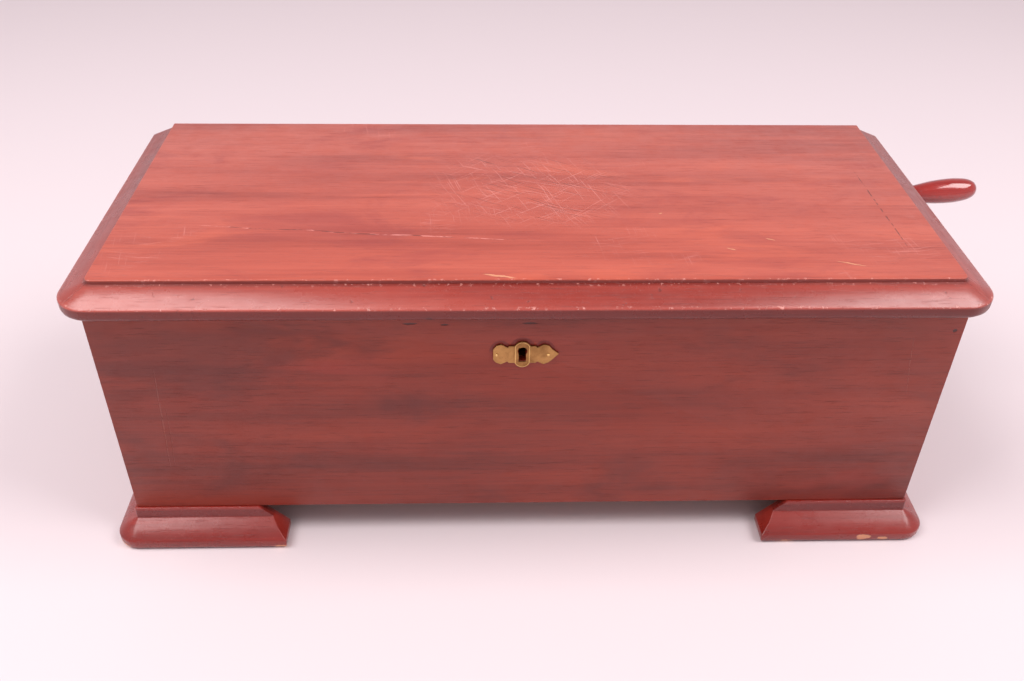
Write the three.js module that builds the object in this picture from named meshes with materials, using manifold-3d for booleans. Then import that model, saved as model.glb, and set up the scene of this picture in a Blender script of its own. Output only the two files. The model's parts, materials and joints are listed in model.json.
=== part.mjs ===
// A wind-up cylinder music box: a long case on four bracket feet, with a moulded lid, an inner
// glass lid, and a crank at its right end that winds the spring of the movement inside.
// Lengths are millimetres. X runs along the case, Y from its front face to its back face, and
// Z up from the surface that it stands on. Each piece is built in those case coordinates, and
// the whole group is moved at the end so that its origin is the middle of its footprint.
import * as THREE from 'three';
import { mergeVertices } from 'three/addons/utils/BufferGeometryUtils.js';
import Module from 'manifold-3d';

const wasm = await Module();
wasm.setup();

// ---- Driving dimensions ----

// Case
const CASE_LENGTH = 620;
const CASE_DEPTH = 259;
const CASE_HEIGHT = 189.5;
const PANEL = 18;
const BOTTOM_BOARD = 12;
const PARTITION = 6;
const END_ROOM = 20;

// Bracket feet
const FOOT_HEIGHT = 30.6;
const FOOT_PROJECTION = 18;
const FOOT_LEDGE = 1.8;
const FOOT_QUIRK = 10.2;
const FOOT_NOSE = 10.4;
const FOOT_NOSE_RADIUS = 4;
const FOOT_ARRIS = 1.5;
const FOOT_BELLY = 0.7;
const FOOT_END_SETBACK = 3.2;
const FOOT_FRONT_LEG = 100;
const FOOT_SIDE_LEG = 80;
const FOOT_BOARD = 24;
const FOOT_INSET = 6;

// Lid
const LID_THICKNESS = 21.2;
const LID_OVERHANG = 14.6;
const MOULDING_WIDTH = 20.2;
const MOULDING_STEP = 3;
const MOULDING_NOSE = 10.6;
const MOULDING_NOSE_RADIUS = 4;
const MOULDING_ARRIS = 0.9;
const LID_FIELD_RADIUS = 5;

// Lid hinges
const HINGE_LENGTH = 60;
const HINGE_LEAF_DEPTH = 14;
const HINGE_LEAF = 2;
const KNUCKLE_RADIUS = 3;
const KNUCKLES = 5;
const HINGE_PIN_RADIUS = 1.4;
const HINGE_FROM_END = 130;
const HINGE_STANDOFF = 0.2;
const HINGE_PIN_END = 1.5;

// Lock and keyhole plate
const KEYHOLE_RADIUS = 3.5;
const KEYHOLE_DROP = 9.3;
const KEYHOLE_SLOT = 5.2;
const KEYHOLE_BELOW_EDGE = 35.1;
const KEYHOLE_ABOVE_MIDDLE = 2.9;
const PLATE_THICKNESS = 1.2;
const PLATE_OFFSET = -6;
const PLATE_BODY = 7.5;
const PLATE_BOSS_RADIUS = 6;
const PLATE_BOSS_RISE = 5.4;
const PLATE_BREAK = 21;
const LOCK_WIDTH = 58;
const LOCK_HEIGHT = 52;
const LOCK_DEPTH = 9.5;
const LOCK_COVER = 2;
const LOCK_WALL = 4;
const STRIKE_WIDTH = 26;
const STRIKE_PLATE = 7;
const STRIKE_DEPTH = 12;
const STAPLE_WIDTH = 12;
const STAPLE = 3;
const STAPLE_ROOM = 1;
const BOLT_HEIGHT = 4;
const BOLT_THICKNESS = 3;
const BOLT_FROM_STAPLE = 1.5;

// Inner glass lid
const INNER_LID_THICKNESS = 8;
const INNER_LID_BELOW_EDGE = 21;
const INNER_LID_BAR = 20;
const GLASS_THICKNESS = 3;
const GLASS_BELOW_FRAME = 0.5;
const INNER_PIN_RADIUS = 2;
const INNER_PIN_DEPTH = 12;
const INNER_PIN_FROM_BACK = 7;
const INNER_LID_BEHIND_PIN = 5;
const INNER_LID_FRONT_GAP = 2;

// Movement
const BED_THICKNESS = 6;
const BED_FOOT = 7;
const BED_FOOT_RADIUS = 10;
const BED_FOOT_INSET = 14;
const BED_END_GAP = 10;
const BED_FRONT_GAP = 8;
const BED_BEHIND_SHAFT = 15;
const ARBOR_HEIGHT = 44;
const BRACKET = 5;
const BRACKET_ABOVE_AXIS = 12;
const CYLINDER_RADIUS = 27;
const CYLINDER_WALL = 2.5;
const CYLINDER_END = 4;
const CYLINDER_PIERCING = 5;
const CYLINDER_ARBOR_RADIUS = 4;
const BARREL_RADIUS = 33;
const BARREL_LENGTH = 54;
const BARREL_WALL = 2.5;
const BARREL_HUB = 14;
const BARREL_ARBOR_RADIUS = 5;
const SHAFT_RADIUS = 4;
const SHAFT_FROM_BACK = 34;
const COMB_TEETH = 60;
const COMB_TOOTH = 42;
const COMB_SPINE = 22;
const COMB_THICKNESS = 3;
const COMB_TIP_GAP = 1.4;
const COMB_TIP = 1.2;
const COMB_END_GAP = 4;
const COMB_GAP_SHARE = 0.28;
const COMB_OVER_BASE = 2;

// Gear train: teeth and module of each mesh
const PRESSURE_ANGLE = 20 * Math.PI / 180;
const TOOTH_THINNING = 0.82;
const TOOTH_TIP = 0.8;
const TOOTH_ROOT = 1.15;
const WINDING = { wheel: 48, pinion: 16, module: 1.5, width: 5 };
const DRIVE = { wheel: 48, pinion: 16, module: 1.5, width: 6 };
const FIRST = { wheel: 60, pinion: 12, module: 1.1, width: 4 };
const SECOND = { wheel: 40, pinion: 10, module: 0.9, width: 3 };
const WORM = {
  wheel: 24, module: 0.9, width: 3, radius: 3.6,
  line: 3.35, thread: 0.6, core: 2.85, turns: 4, phase: 1.53 * Math.PI,
};

// Ratchet and click
const RATCHET_TEETH = 18;
const RATCHET_RADIUS = 20;
const RATCHET_DEPTH = 3;
const RATCHET_WIDTH = 4;
const CLICK_STUD_RADIUS = 2.5;
const CLICK_ABOVE_AXIS = 37;
const CLICK_EYE_RADIUS = 6;
const CLICK_SPRING_LEAF = 1;
const CLICK_SPRING_FOOT = 12;
const CLICK_SPRING_CURL = 4;
const CLICK_SPRING_BEHIND_TIP = 16;
const CLICK_SPRING_ABOVE_AXIS = 12;

// Mainspring
const SPRING_TURNS = 6;
const SPRING_STRIP = 1.1;

// Places along the movement, each as the space after the last piece
const BRACKET_FROM_END = 6;
const BRACKET_TO_WHEEL = 5;
const WHEEL_TO_RATCHET = 2;
const RATCHET_TO_BARREL = 3;
const WHEEL_TO_BRACKET = 6;
const BRACKET_TO_CYLINDER = 10;
const CYLINDER_TO_GOVERNOR = 3;
const ARBOR_END = 2;

// Governor
const GOVERNOR_LENGTH = 55;
const GOVERNOR_FROM_END = 56;
const GOVERNOR_PLATE = 3;
const GOVERNOR_BASE = 4;
const PLATE_TO_FIRST = 3.5;
const FIRST_TO_SECOND = 9;
const BEARING_TO_SECOND = 3;
const SECOND_TO_WORM = 13;
const FIRST_ANGLE = 165;
const SECOND_ANGLE = 207;
const FIRST_ARBOR_RADIUS = 2.5;
const SECOND_ARBOR_RADIUS = 2;
const SPINDLE_RADIUS = 1.5;
const COCK_HEIGHT = 22;
const COCK = 4;
const COCK_HALF_WIDTH = 5;
const POST_WIDTH = 14;
const FAN_SPAN = 15;
const FAN_HEIGHT = 20;
const FAN_BLADE = 1;
const FAN_HUB_RADIUS = 3;
const FAN_GAP = 2;

// Start lever
const LEVER_FROM_GOVERNOR = 26;
const LEVER_FROM_BED_FRONT = 40;
const LEVER_PIVOT_HEIGHT = 14;
const LEVER_WIDTH = 5;
const LEVER_PIN_RADIUS = 2;
const LEVER_LENGTH = 52;
const LEVER_EYE_RADIUS = 6;
const LEVER_TIP_RADIUS = 5;
const LEVER_CHEEK = 3;
const LEVER_STAND = { halfLength: 12, halfDepth: 14, thickness: 4 };

// Crank
const CRANK_THROW = 59.7;
const CRANK_LEAN_BACK = 9;
const CRANK_ARM = 5;
const CRANK_ARM_WIDTH = 13;
const CRANK_FROM_LID = 3.4;
const CRANK_BOSS = 3;
const CRANK_NUT_RADIUS = 7;
const CRANK_NUT = 5;
const BUSH_RADIUS = 8;
const BUSH_FLANGE = 13;
const BUSH_FLANGE_THICKNESS = 2.2;
const BUSH_CHAMFER = 1;
const GRIP_LENGTH = 76.5;
const GRIP_RADIUS = 11;
const GRIP_NECK_RADIUS = 7;
const GRIP_PIN_RADIUS = 3;
const GRIP_PIN_SHARE = 0.8;
const GRIP_RISE_DEGREES = 4.5;
const GRIP_BACK_DEGREES = 2.3;

// Sides of round solids
const PIN_SIDES = 12;
const CORNER_SIDES = 44;

// Clearances
const SEAM = 0.1;          // between pieces that are fixed to each other
const LID_GAP = 0.4;       // between the lid and the case
const RUNNING_GAP = 0.3;   // round a shaft in its hole, and between knuckles
const END_PLAY = 0.5;      // along a shaft
const CLICK_GAP = 0.5;     // between the click and the ratchet
const CUT = 1;             // of a cutting solid past the face that it cuts
const GRID = 1e-4;         // on which the corners of every solid lie

// ---- Derived places ----

const halfLength = CASE_LENGTH / 2;
const bodyBottom = FOOT_HEIGHT + SEAM;
const bodyTop = bodyBottom + CASE_HEIGHT;
const floorTop = bodyBottom + BOTTOM_BOARD;
const innerFront = PANEL;
const innerBack = CASE_DEPTH - PANEL;
const innerHalf = halfLength - PANEL;
const partitionInner = innerHalf - END_ROOM - PARTITION;

const lidBottom = bodyTop + LID_GAP;
const lidTop = lidBottom + LID_THICKNESS;
const lidOuterHalf = halfLength + LID_OVERHANG;
const lidInnerHalf = lidOuterHalf - MOULDING_WIDTH;
const lidInnerFront = MOULDING_WIDTH - LID_OVERHANG;
const fieldX = lidInnerHalf - LID_FIELD_RADIUS;
const fieldY = lidInnerFront + LID_FIELD_RADIUS;
const mitreReach = 2 * MOULDING_WIDTH;

const hingeY = CASE_DEPTH + KNUCKLE_RADIUS + HINGE_STANDOFF;
const hingeZ = bodyTop + LID_GAP / 2;
const hingeX = halfLength - HINGE_FROM_END;

const innerLidZ = bodyTop - INNER_LID_BELOW_EDGE;
const innerPinY = innerBack - INNER_PIN_FROM_BACK;
const innerLidHalf = partitionInner - END_PLAY;
const glassTop = innerLidZ + INNER_LID_THICKNESS / 2 - GLASS_BELOW_FRAME;
const innerLidFront = innerFront + INNER_LID_FRONT_GAP;
const innerLidBack = innerPinY + INNER_LID_BEHIND_PIN;

const keyholeZ = bodyTop - KEYHOLE_BELOW_EDGE;
const lockLeft = PLATE_OFFSET - LOCK_WIDTH / 2;
const lockRight = PLATE_OFFSET + LOCK_WIDTH / 2;
const lockBottom = bodyTop - LOCK_HEIGHT;
const lockFront = PANEL - LOCK_DEPTH - LOCK_COVER;
const lockBack = lockFront + LOCK_DEPTH;
const strikeY = lockFront + LOCK_DEPTH / 2;
const boltZ = lidBottom - STRIKE_DEPTH / 2;

const bedHalf = partitionInner - BED_END_GAP;
const bedTop = floorTop + SEAM + BED_FOOT + BED_THICKNESS;
const axisZ = bedTop + ARBOR_HEIGHT;
const windingSpread = centreDistance(WINDING);
const shaft = { y: innerBack - SHAFT_FROM_BACK, z: axisZ + windingSpread * Math.SQRT1_2 };
const barrel = { y: shaft.y - windingSpread * Math.SQRT1_2, z: axisZ };
const cylinder = { y: barrel.y - centreDistance(DRIVE), z: axisZ };
const firstArbor = beside(cylinder, centreDistance(FIRST), FIRST_ANGLE);
const secondArbor = beside(firstArbor, centreDistance(SECOND), SECOND_ANGLE);
const worm = {
  y: secondArbor.y - WORM.wheel * WORM.module / 2 - WORM.radius,
  z: secondArbor.z,
};
const combTipY = cylinder.y - CYLINDER_RADIUS - COMB_TIP_GAP;
const combSpineY = combTipY - COMB_TOOTH;
const clickTipY = barrel.y - RATCHET_RADIUS - CLICK_GAP;
const clickPivot = { y: clickTipY - 1, z: axisZ + CLICK_ABOVE_AXIS };
const cockZ = worm.z + COCK_HEIGHT;
const bedFront = innerFront + BED_FRONT_GAP;
const bedBack = shaft.y + BED_BEHIND_SHAFT;

// Along X, from the left end of the bedplate
const outerBracketX = -bedHalf + BRACKET_FROM_END;
const windingX = outerBracketX + BRACKET + BRACKET_TO_WHEEL;
const ratchetX = windingX + WINDING.width + WHEEL_TO_RATCHET;
const barrelX = ratchetX + RATCHET_WIDTH + RATCHET_TO_BARREL;
const driveX = barrelX + BARREL_LENGTH;
const innerBracketX = driveX + DRIVE.width + WHEEL_TO_BRACKET;
const cylinderLeft = innerBracketX + BRACKET + BRACKET_TO_CYLINDER;
// and from its right end
const governorRight = bedHalf - GOVERNOR_FROM_END;
const governorLeft = governorRight - GOVERNOR_LENGTH;
const firstX = governorLeft + GOVERNOR_PLATE + PLATE_TO_FIRST;
const secondX = firstX + FIRST.width + FIRST_TO_SECOND;
const rightBearingX = secondX - BEARING_TO_SECOND;
const wormWheelX = secondX + SECOND.width + SECOND_TO_WORM;
const wormX = wormWheelX + WORM.width / 2;
const cylinderRight = governorLeft - CYLINDER_TO_GOVERNOR;
const leverX = governorRight + LEVER_FROM_GOVERNOR;
const lever = { y: bedFront + LEVER_FROM_BED_FRONT, z: bedTop + LEVER_PIVOT_HEIGHT };
const crankX = lidOuterHalf + CRANK_FROM_LID;
const grip = {
  y: shaft.y + CRANK_LEAN_BACK,
  z: shaft.z + Math.sqrt(CRANK_THROW ** 2 - CRANK_LEAN_BACK ** 2),
};
const gripTurn = new THREE.Euler(
  0,
  -GRIP_RISE_DEGREES * Math.PI / 180,
  GRIP_BACK_DEGREES * Math.PI / 180,
);

// ---- Shapes ----

const X = new THREE.Vector3(1, 0, 0);
const Y = new THREE.Vector3(0, 1, 0);
const Z = new THREE.Vector3(0, 0, 1);

function centreDistance(mesh) {
  return (mesh.wheel + mesh.pinion) * mesh.module / 2;
}

// A point at a distance from another in the YZ plane, at an angle from +Y towards +Z.
function beside(point, distance, degrees) {
  const angle = degrees * Math.PI / 180;
  return { y: point.y + distance * Math.cos(angle), z: point.z + distance * Math.sin(angle) };
}

// A closed solid from a geometry, with its faces turned outwards. Its corners are put on a fine
// grid, so that two faces meant to lie in one plane do so exactly.
function solid(geometry) {
  const bare = geometry.clone();
  bare.deleteAttribute('normal');
  bare.deleteAttribute('uv');
  const merged = mergeVertices(bare, GRID);
  const points = merged.attributes.position.array.map((value) => Math.round(value / GRID) * GRID);
  const faces = wholeFaces(merged.index.array);
  if (volume(points, faces) < 0) {
    faces.reverse();
  }
  const mesh = new wasm.Mesh({
    numProp: 3,
    vertProperties: points,
    triVerts: Uint32Array.from(faces),
  });
  return new wasm.Manifold(mesh);
}

// The faces whose three corners are all different.
function wholeFaces(index) {
  const faces = [];
  for (let i = 0; i < index.length; i += 3) {
    const [a, b, c] = [index[i], index[i + 1], index[i + 2]];
    if (a !== b && b !== c && c !== a) {
      faces.push(a, b, c);
    }
  }
  return faces;
}

function volume(points, faces) {
  const corner = (i) => new THREE.Vector3().fromArray(points, faces[i] * 3);
  let sum = 0;
  for (let i = 0; i < faces.length; i += 3) {
    sum += corner(i).dot(corner(i + 1).cross(corner(i + 2)));
  }
  return sum / 6;
}

function together(...solids) {
  return solids.reduce((all, next) => all.add(next));
}

function without(body, ...cuts) {
  return cuts.reduce((left, cut) => left.subtract(cut), body);
}

function block(x0, x1, y0, y1, z0, z1) {
  const geometry = new THREE.BoxGeometry(x1 - x0, y1 - y0, z1 - z0);
  return solid(geometry.translate((x0 + x1) / 2, (y0 + y1) / 2, (z0 + z1) / 2));
}

function extruded(shape, length, basis, start, segments) {
  const settings = { depth: length, bevelEnabled: false, curveSegments: segments };
  const geometry = new THREE.ExtrudeGeometry(shape, settings);
  return solid(geometry.applyMatrix4(basis.setPosition(start)));
}

// Prisms along each axis: the outline is drawn in (y, z), (x, z) or (x, y).
function prismX(shape, x0, x1, segments = 6) {
  const basis = new THREE.Matrix4().makeBasis(Y, Z, X);
  return extruded(shape, x1 - x0, basis, new THREE.Vector3(x0, 0, 0), segments);
}

function prismY(shape, y0, y1, segments = 6) {
  const basis = new THREE.Matrix4().makeBasis(X, Z, Y.clone().negate());
  return extruded(shape, y1 - y0, basis, new THREE.Vector3(0, y1, 0), segments);
}

function prismZ(shape, z0, z1, segments = 6) {
  return extruded(shape, z1 - z0, new THREE.Matrix4(), new THREE.Vector3(0, 0, z0), segments);
}

function outline(points) {
  return new THREE.Shape(points.map(([u, v]) => new THREE.Vector2(u, v)));
}

function disc(radius, u = 0, v = 0) {
  return new THREE.Shape().absarc(u, v, radius, 0, 2 * Math.PI);
}

function rodX(radius, x0, x1, at, sides = 16) {
  const geometry = new THREE.CylinderGeometry(radius, radius, x1 - x0, sides);
  geometry.rotateZ(-Math.PI / 2);
  return solid(geometry.translate((x0 + x1) / 2, at.y, at.z));
}

function rodZ(radius, z0, z1, x, y, sides = 16) {
  const geometry = new THREE.CylinderGeometry(radius, radius, z1 - z0, sides);
  geometry.rotateX(Math.PI / 2);
  return solid(geometry.translate(x, y, (z0 + z1) / 2));
}

// Round holes: the polygon stands outside the circle, so that a shaft of that radius clears it.
function boreX(radius, x0, x1, at, sides = 16) {
  return rodX(radius / Math.cos(Math.PI / sides), x0, x1, at, sides);
}

function boreZ(radius, z0, z1, x, y, sides = 16) {
  return rodZ(radius / Math.cos(Math.PI / sides), z0, z1, x, y, sides);
}

// A solid of revolution about an axis along X: the profile is (distance from axis, x).
function turnedX(profile, at, sides = 20) {
  const points = profile.map(([r, x]) => new THREE.Vector2(r, x));
  const geometry = new THREE.LatheGeometry(points, sides);
  const basis = new THREE.Matrix4().makeBasis(Y, X, Z.clone().negate());
  return solid(geometry.applyMatrix4(basis.setPosition(0, at.y, at.z)));
}

// A solid of revolution about an upright axis: the profile is (distance from axis, height).
function turnedZ(profile, x, y, sides) {
  const points = profile.map(([r, z]) => new THREE.Vector2(r, z));
  const geometry = new THREE.LatheGeometry(points, sides);
  return solid(geometry.rotateX(Math.PI / 2).translate(x, y, 0));
}

const WOOD_DARK = finish(0x5c1f1b, 0.32, 0);
const WOOD_LID = finish(0x7c2a20, 0.28, 0);
const WOOD_PLAIN = finish(0x8a5a3a, 0.6, 0);
const WOOD_BLACK = finish(0x2a1a16, 0.45, 0);
const BRASS = finish(0xb08d4c, 0.35, 0.9);
const STEEL = finish(0xa9abae, 0.35, 0.95);
const BLUED = finish(0x3b4552, 0.35, 0.9);
const IRON = finish(0x6d5a3c, 0.55, 0.7);
const GLASS = finish(0xdfe9e6, 0.05, 0);

function finish(color, roughness, metalness) {
  return new THREE.MeshStandardMaterial({ color, roughness, metalness });
}

function piece(name, body, material) {
  const { vertProperties, triVerts } = body.getMesh();
  const geometry = new THREE.BufferGeometry();
  geometry.setAttribute('position', new THREE.BufferAttribute(vertProperties, 3));
  geometry.setIndex(new THREE.BufferAttribute(triVerts, 1));
  geometry.computeVertexNormals();
  const mesh = new THREE.Mesh(geometry, material);
  mesh.name = name;
  return mesh;
}

// ---- Gears ----

function involute(angle) {
  return Math.tan(angle) - angle;
}

// An involute gear's outline with a tooth pointing at the given angle, and a round bore.
function gearShape(teeth, module, toothAngle, bore) {
  const pitch = teeth * module / 2;
  const base = pitch * Math.cos(PRESSURE_ANGLE);
  const radii = [pitch - TOOTH_ROOT * module, pitch + TOOTH_TIP * module];
  const atPitch = Math.PI / teeth / 2 * TOOTH_THINNING + involute(PRESSURE_ANGLE);
  const halfAngle = (r) => atPitch - involute(Math.acos(Math.min(1, base / r)));
  const points = [];
  for (let tooth = 0; tooth < teeth; tooth++) {
    const middle = toothAngle + tooth * 2 * Math.PI / teeth;
    const rising = radii.map((r) => [r, middle - halfAngle(r)]);
    const falling = radii.map((r) => [r, middle + halfAngle(r)]).reverse();
    for (const [r, angle] of [...rising, ...falling]) {
      points.push([r * Math.cos(angle), r * Math.sin(angle)]);
    }
  }
  const shape = outline(points);
  shape.holes.push(new THREE.Path().absarc(0, 0, bore, 0, 2 * Math.PI));
  return shape;
}

function gear(teeth, module, toothAngle, bore, x, width, at) {
  const basis = new THREE.Matrix4().makeBasis(Y, Z, X);
  const start = new THREE.Vector3(x, at.y, at.z);
  return extruded(gearShape(teeth, module, toothAngle, bore), width, basis, start, 8);
}

// The two gears of a mesh: the wheel has a tooth on the line of centres, the pinion a gap.
function wheelOf(mesh, at, towards, bore, x) {
  const angle = Math.atan2(towards.z - at.z, towards.y - at.y);
  return gear(mesh.wheel, mesh.module, angle, bore, x, mesh.width, at);
}

function pinionOf(mesh, at, towards, bore, x) {
  const angle = Math.atan2(towards.z - at.z, towards.y - at.y) + Math.PI / mesh.pinion;
  return gear(mesh.pinion, mesh.module, angle, bore, x, mesh.width, at);
}

// ---- Case ----

function frontPanel() {
  const board = block(-halfLength, halfLength, 0, PANEL, bodyBottom, bodyTop);
  const keyhole = prismY(keyholeShape(), -CUT, PANEL + CUT);
  const mortise = block(
    lockLeft - SEAM, lockRight + SEAM,
    lockFront - SEAM, PANEL + CUT,
    lockBottom - SEAM, bodyTop + CUT,
  );
  return piece('front_panel', without(board, keyhole, mortise), WOOD_DARK);
}

function backPanel() {
  const board = block(-halfLength, halfLength, innerBack, CASE_DEPTH, bodyBottom, bodyTop);
  const under = bodyTop - HINGE_LEAF - 2 * SEAM;
  const pockets = [-hingeX, hingeX].map((x) => leafPocket(x, under, bodyTop + CUT));
  return piece('back_panel', without(board, ...pockets), WOOD_DARK);
}

function sidePanel(name, side) {
  const inner = side * innerHalf;
  const outer = side * halfLength;
  const [x0, x1] = [Math.min(inner, outer), Math.max(inner, outer)];
  let board = block(x0, x1, innerFront + SEAM, innerBack - SEAM, bodyBottom, bodyTop);
  if (side > 0) {
    board = without(board, boreX(BUSH_RADIUS + SEAM, x0 - CUT, x1 + CUT, shaft));
  }
  return piece(name, board, WOOD_DARK);
}

function bottomBoard() {
  const half = innerHalf - SEAM;
  const board = block(-half, half, innerFront + SEAM, innerBack - SEAM, bodyBottom, floorTop);
  return piece('bottom_board', board, WOOD_PLAIN);
}

function partition(name, side) {
  const [near, far] = [side * partitionInner, side * (partitionInner + PARTITION)];
  const [x0, x1] = [Math.min(near, far), Math.max(near, far)];
  const top = innerLidZ + INNER_LID_THICKNESS;
  let board = block(x0, x1, innerFront + SEAM, innerBack - SEAM, floorTop + SEAM, top);
  const pin = { y: innerPinY, z: innerLidZ };
  board = without(board, boreX(INNER_PIN_RADIUS + SEAM, x0 - CUT, x1 + CUT, pin, PIN_SIDES));
  if (side > 0) {
    board = without(board, boreX(SHAFT_RADIUS + 2 * RUNNING_GAP, x0 - CUT, x1 + CUT, shaft));
  }
  return piece(name, board, WOOD_BLACK);
}

// Outlines of a foot's edge from bottom to top, as [distance out from the case, height].
const FOOT_PLAIN = [[0, 0], [0, FOOT_HEIGHT]];

function footNose() {
  const r = FOOT_NOSE_RADIUS;
  const under = [0, 1, 2, 3].map((step) => {
    const angle = step * Math.PI / 6;
    return [FOOT_PROJECTION - r + r * Math.sin(angle), r - r * Math.cos(angle)];
  });
  return [...under, [FOOT_PROJECTION, FOOT_NOSE - FOOT_ARRIS], [FOOT_PROJECTION - FOOT_ARRIS, FOOT_NOSE]];
}

// Along the case: a nose, a bevel with a slight belly, and a quirk under the ledge.
function footMoulding() {
  const shoulder = FOOT_HEIGHT - FOOT_QUIRK;
  const middle = [(FOOT_PROJECTION + FOOT_LEDGE) / 2, (FOOT_NOSE + shoulder) / 2 + FOOT_BELLY];
  return [...footNose(), middle, [FOOT_LEDGE, shoulder], [FOOT_LEDGE, FOOT_HEIGHT]];
}

// At the end of a leg: one flat slope from the nose to the top.
function footEnd() {
  return [...footNose(), [-FOOT_END_SETBACK, FOOT_HEIGHT]];
}

// A leg's section between two faces, with an outline from above at each of them.
function footSection(from, to, fromEdge, toEdge) {
  const right = toEdge.map(([out, z]) => [to + out, z]);
  const left = fromEdge.map(([out, z]) => [from - out, z]);
  return outline([...right, ...left.reverse()]);
}

// The moulding swept round the case's left front corner.
function footCorner() {
  const profile = [[0, 0], ...footMoulding(), [0, FOOT_HEIGHT]];
  const whole = turnedZ(profile, -halfLength, 0, CORNER_SIDES);
  const reach = FOOT_PROJECTION + CUT;
  const quarter = block(-halfLength - reach, -halfLength, -reach, 0, -CUT, FOOT_HEIGHT + CUT);
  return whole.intersect(quarter);
}

// A bracket foot under one corner: a leg along the front or back, and a leg along the side.
function foot(name, side, back) {
  const [x0, x1] = [-halfLength - FOOT_PROJECTION, -halfLength + FOOT_FRONT_LEG + FOOT_PROJECTION];
  const moulded = footMoulding();
  const inner = -halfLength + FOOT_FRONT_LEG;
  const sideLegX = footSection(-halfLength, -halfLength + FOOT_INSET, moulded, FOOT_PLAIN);
  let body;
  if (back) {
    const start = CASE_DEPTH - FOOT_SIDE_LEG;
    const backLegX = footSection(-halfLength, inner, moulded, footEnd());
    const backLeg = prismY(backLegX, CASE_DEPTH - FOOT_BOARD, CASE_DEPTH);
    const sideLegY = footSection(start, CASE_DEPTH, footEnd(), FOOT_PLAIN);
    const length = prismY(sideLegX, start - FOOT_PROJECTION, CASE_DEPTH);
    body = backLeg.add(prismX(sideLegY, x0, x1).intersect(length));
  } else {
    const frontLegY = footSection(0, FOOT_INSET, moulded, FOOT_PLAIN);
    const frontLegX = footSection(-halfLength, inner, FOOT_PLAIN, footEnd());
    const frontLeg = prismX(frontLegY, x0, x1).intersect(prismY(frontLegX, -FOOT_PROJECTION, FOOT_INSET));
    const sideLegY = footSection(0, FOOT_SIDE_LEG, FOOT_PLAIN, footEnd());
    const length = prismY(sideLegX, 0, FOOT_SIDE_LEG + FOOT_PROJECTION);
    body = together(frontLeg, prismX(sideLegY, x0, x1).intersect(length), footCorner());
  }
  const mesh = piece(name, body, WOOD_DARK);
  if (side > 0) {
    return mirrored(mesh);
  }
  return mesh;
}

// The same piece on the other side of the case's middle.
function mirrored(mesh) {
  const geometry = mesh.geometry.clone().scale(-1, 1, 1);
  return piece(mesh.name, solid(geometry), mesh.material);
}

// ---- Lid ----

// The lid board. Its front corners are rounded, and the moulding sweeps round them.
function lidBoard() {
  const r = LID_FIELD_RADIUS - SEAM;
  const half = lidInnerHalf - SEAM;
  const plan = new THREE.Shape();
  plan.moveTo(half, CASE_DEPTH);
  plan.lineTo(-half, CASE_DEPTH);
  plan.absarc(-fieldX, fieldY, r, Math.PI, 1.5 * Math.PI);
  plan.absarc(fieldX, fieldY, r, 1.5 * Math.PI, 2 * Math.PI);
  const board = prismZ(plan, lidBottom, lidTop, 4);
  const over = lidBottom + HINGE_LEAF + 2 * SEAM;
  const pockets = [-hingeX, hingeX].map((x) => leafPocket(x, lidBottom - CUT, over));
  return piece('lid_board', without(board, ...pockets, staplePocket()), WOOD_LID);
}

// The recess under the lid for the staple's plate. It may reach into the front moulding.
function staplePocket() {
  return block(
    PLATE_OFFSET - STRIKE_WIDTH / 2 - SEAM, PLATE_OFFSET + STRIKE_WIDTH / 2 + SEAM,
    strikeY - STRIKE_PLATE / 2 - SEAM, strikeY + STRIKE_PLATE / 2 + SEAM,
    lidBottom - CUT, lidBottom + HINGE_LEAF + SEAM,
  );
}

// The lid's edge moulding in section, as [distance out from the lid board, height].
function mouldingSection() {
  const w = MOULDING_WIDTH;
  const r = MOULDING_NOSE_RADIUS;
  const under = [0, 1, 2, 3].map((step) => {
    const angle = step * Math.PI / 6;
    return [w - r + r * Math.sin(angle), r - r * Math.cos(angle)];
  });
  return [
    [0, 0], ...under, [w, MOULDING_NOSE - MOULDING_ARRIS], [w - MOULDING_ARRIS, MOULDING_NOSE],
    [0, LID_THICKNESS - MOULDING_STEP],
  ];
}

// The moulding swept round a front corner of the lid board.
function mouldingCorner(side) {
  const section = mouldingSection().map(([out, z]) => [LID_FIELD_RADIUS + out, lidBottom + z]);
  const ring = turnedZ([...section, section[0]], side * fieldX, fieldY, CORNER_SIDES);
  const ends = [side * fieldX, side * (fieldX + mitreReach)].sort((a, b) => a - b);
  const quarter = block(...ends, fieldY - mitreReach, fieldY, lidBottom - CUT, lidTop + CUT);
  return ring.intersect(quarter);
}

function mouldingFront() {
  const section = mouldingSection().map(([out, z]) => [lidInnerFront - out, lidBottom + z]);
  const straight = prismX(outline(section), -fieldX, fieldX);
  const mitres = outline([
    [-fieldX + SEAM, fieldY], [-fieldX + SEAM - mitreReach, fieldY - mitreReach],
    [fieldX - SEAM + mitreReach, fieldY - mitreReach], [fieldX - SEAM, fieldY],
  ]);
  const whole = together(straight, mouldingCorner(-1), mouldingCorner(1));
  const body = whole.intersect(prismZ(mitres, lidBottom - CUT, lidTop + CUT));
  return piece('lid_moulding_front', body.subtract(staplePocket()), WOOD_LID);
}

function mouldingSide(name, side) {
  const section = mouldingSection().map(([out, z]) => [-lidInnerHalf - out, lidBottom + z]);
  const straight = prismY(outline(section), fieldY, CASE_DEPTH);
  const mitre = outline([
    [-fieldX, fieldY + SEAM], [-fieldX, CASE_DEPTH + CUT],
    [-fieldX - mitreReach, CASE_DEPTH + CUT], [-fieldX - mitreReach, fieldY + SEAM - mitreReach],
  ]);
  const whole = together(straight, mouldingCorner(-1));
  const mesh = piece(name, whole.intersect(prismZ(mitre, lidBottom - CUT, lidTop + CUT)), WOOD_LID);
  if (side > 0) {
    return mirrored(mesh);
  }
  return mesh;
}

// ---- Lid hinges ----

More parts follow.
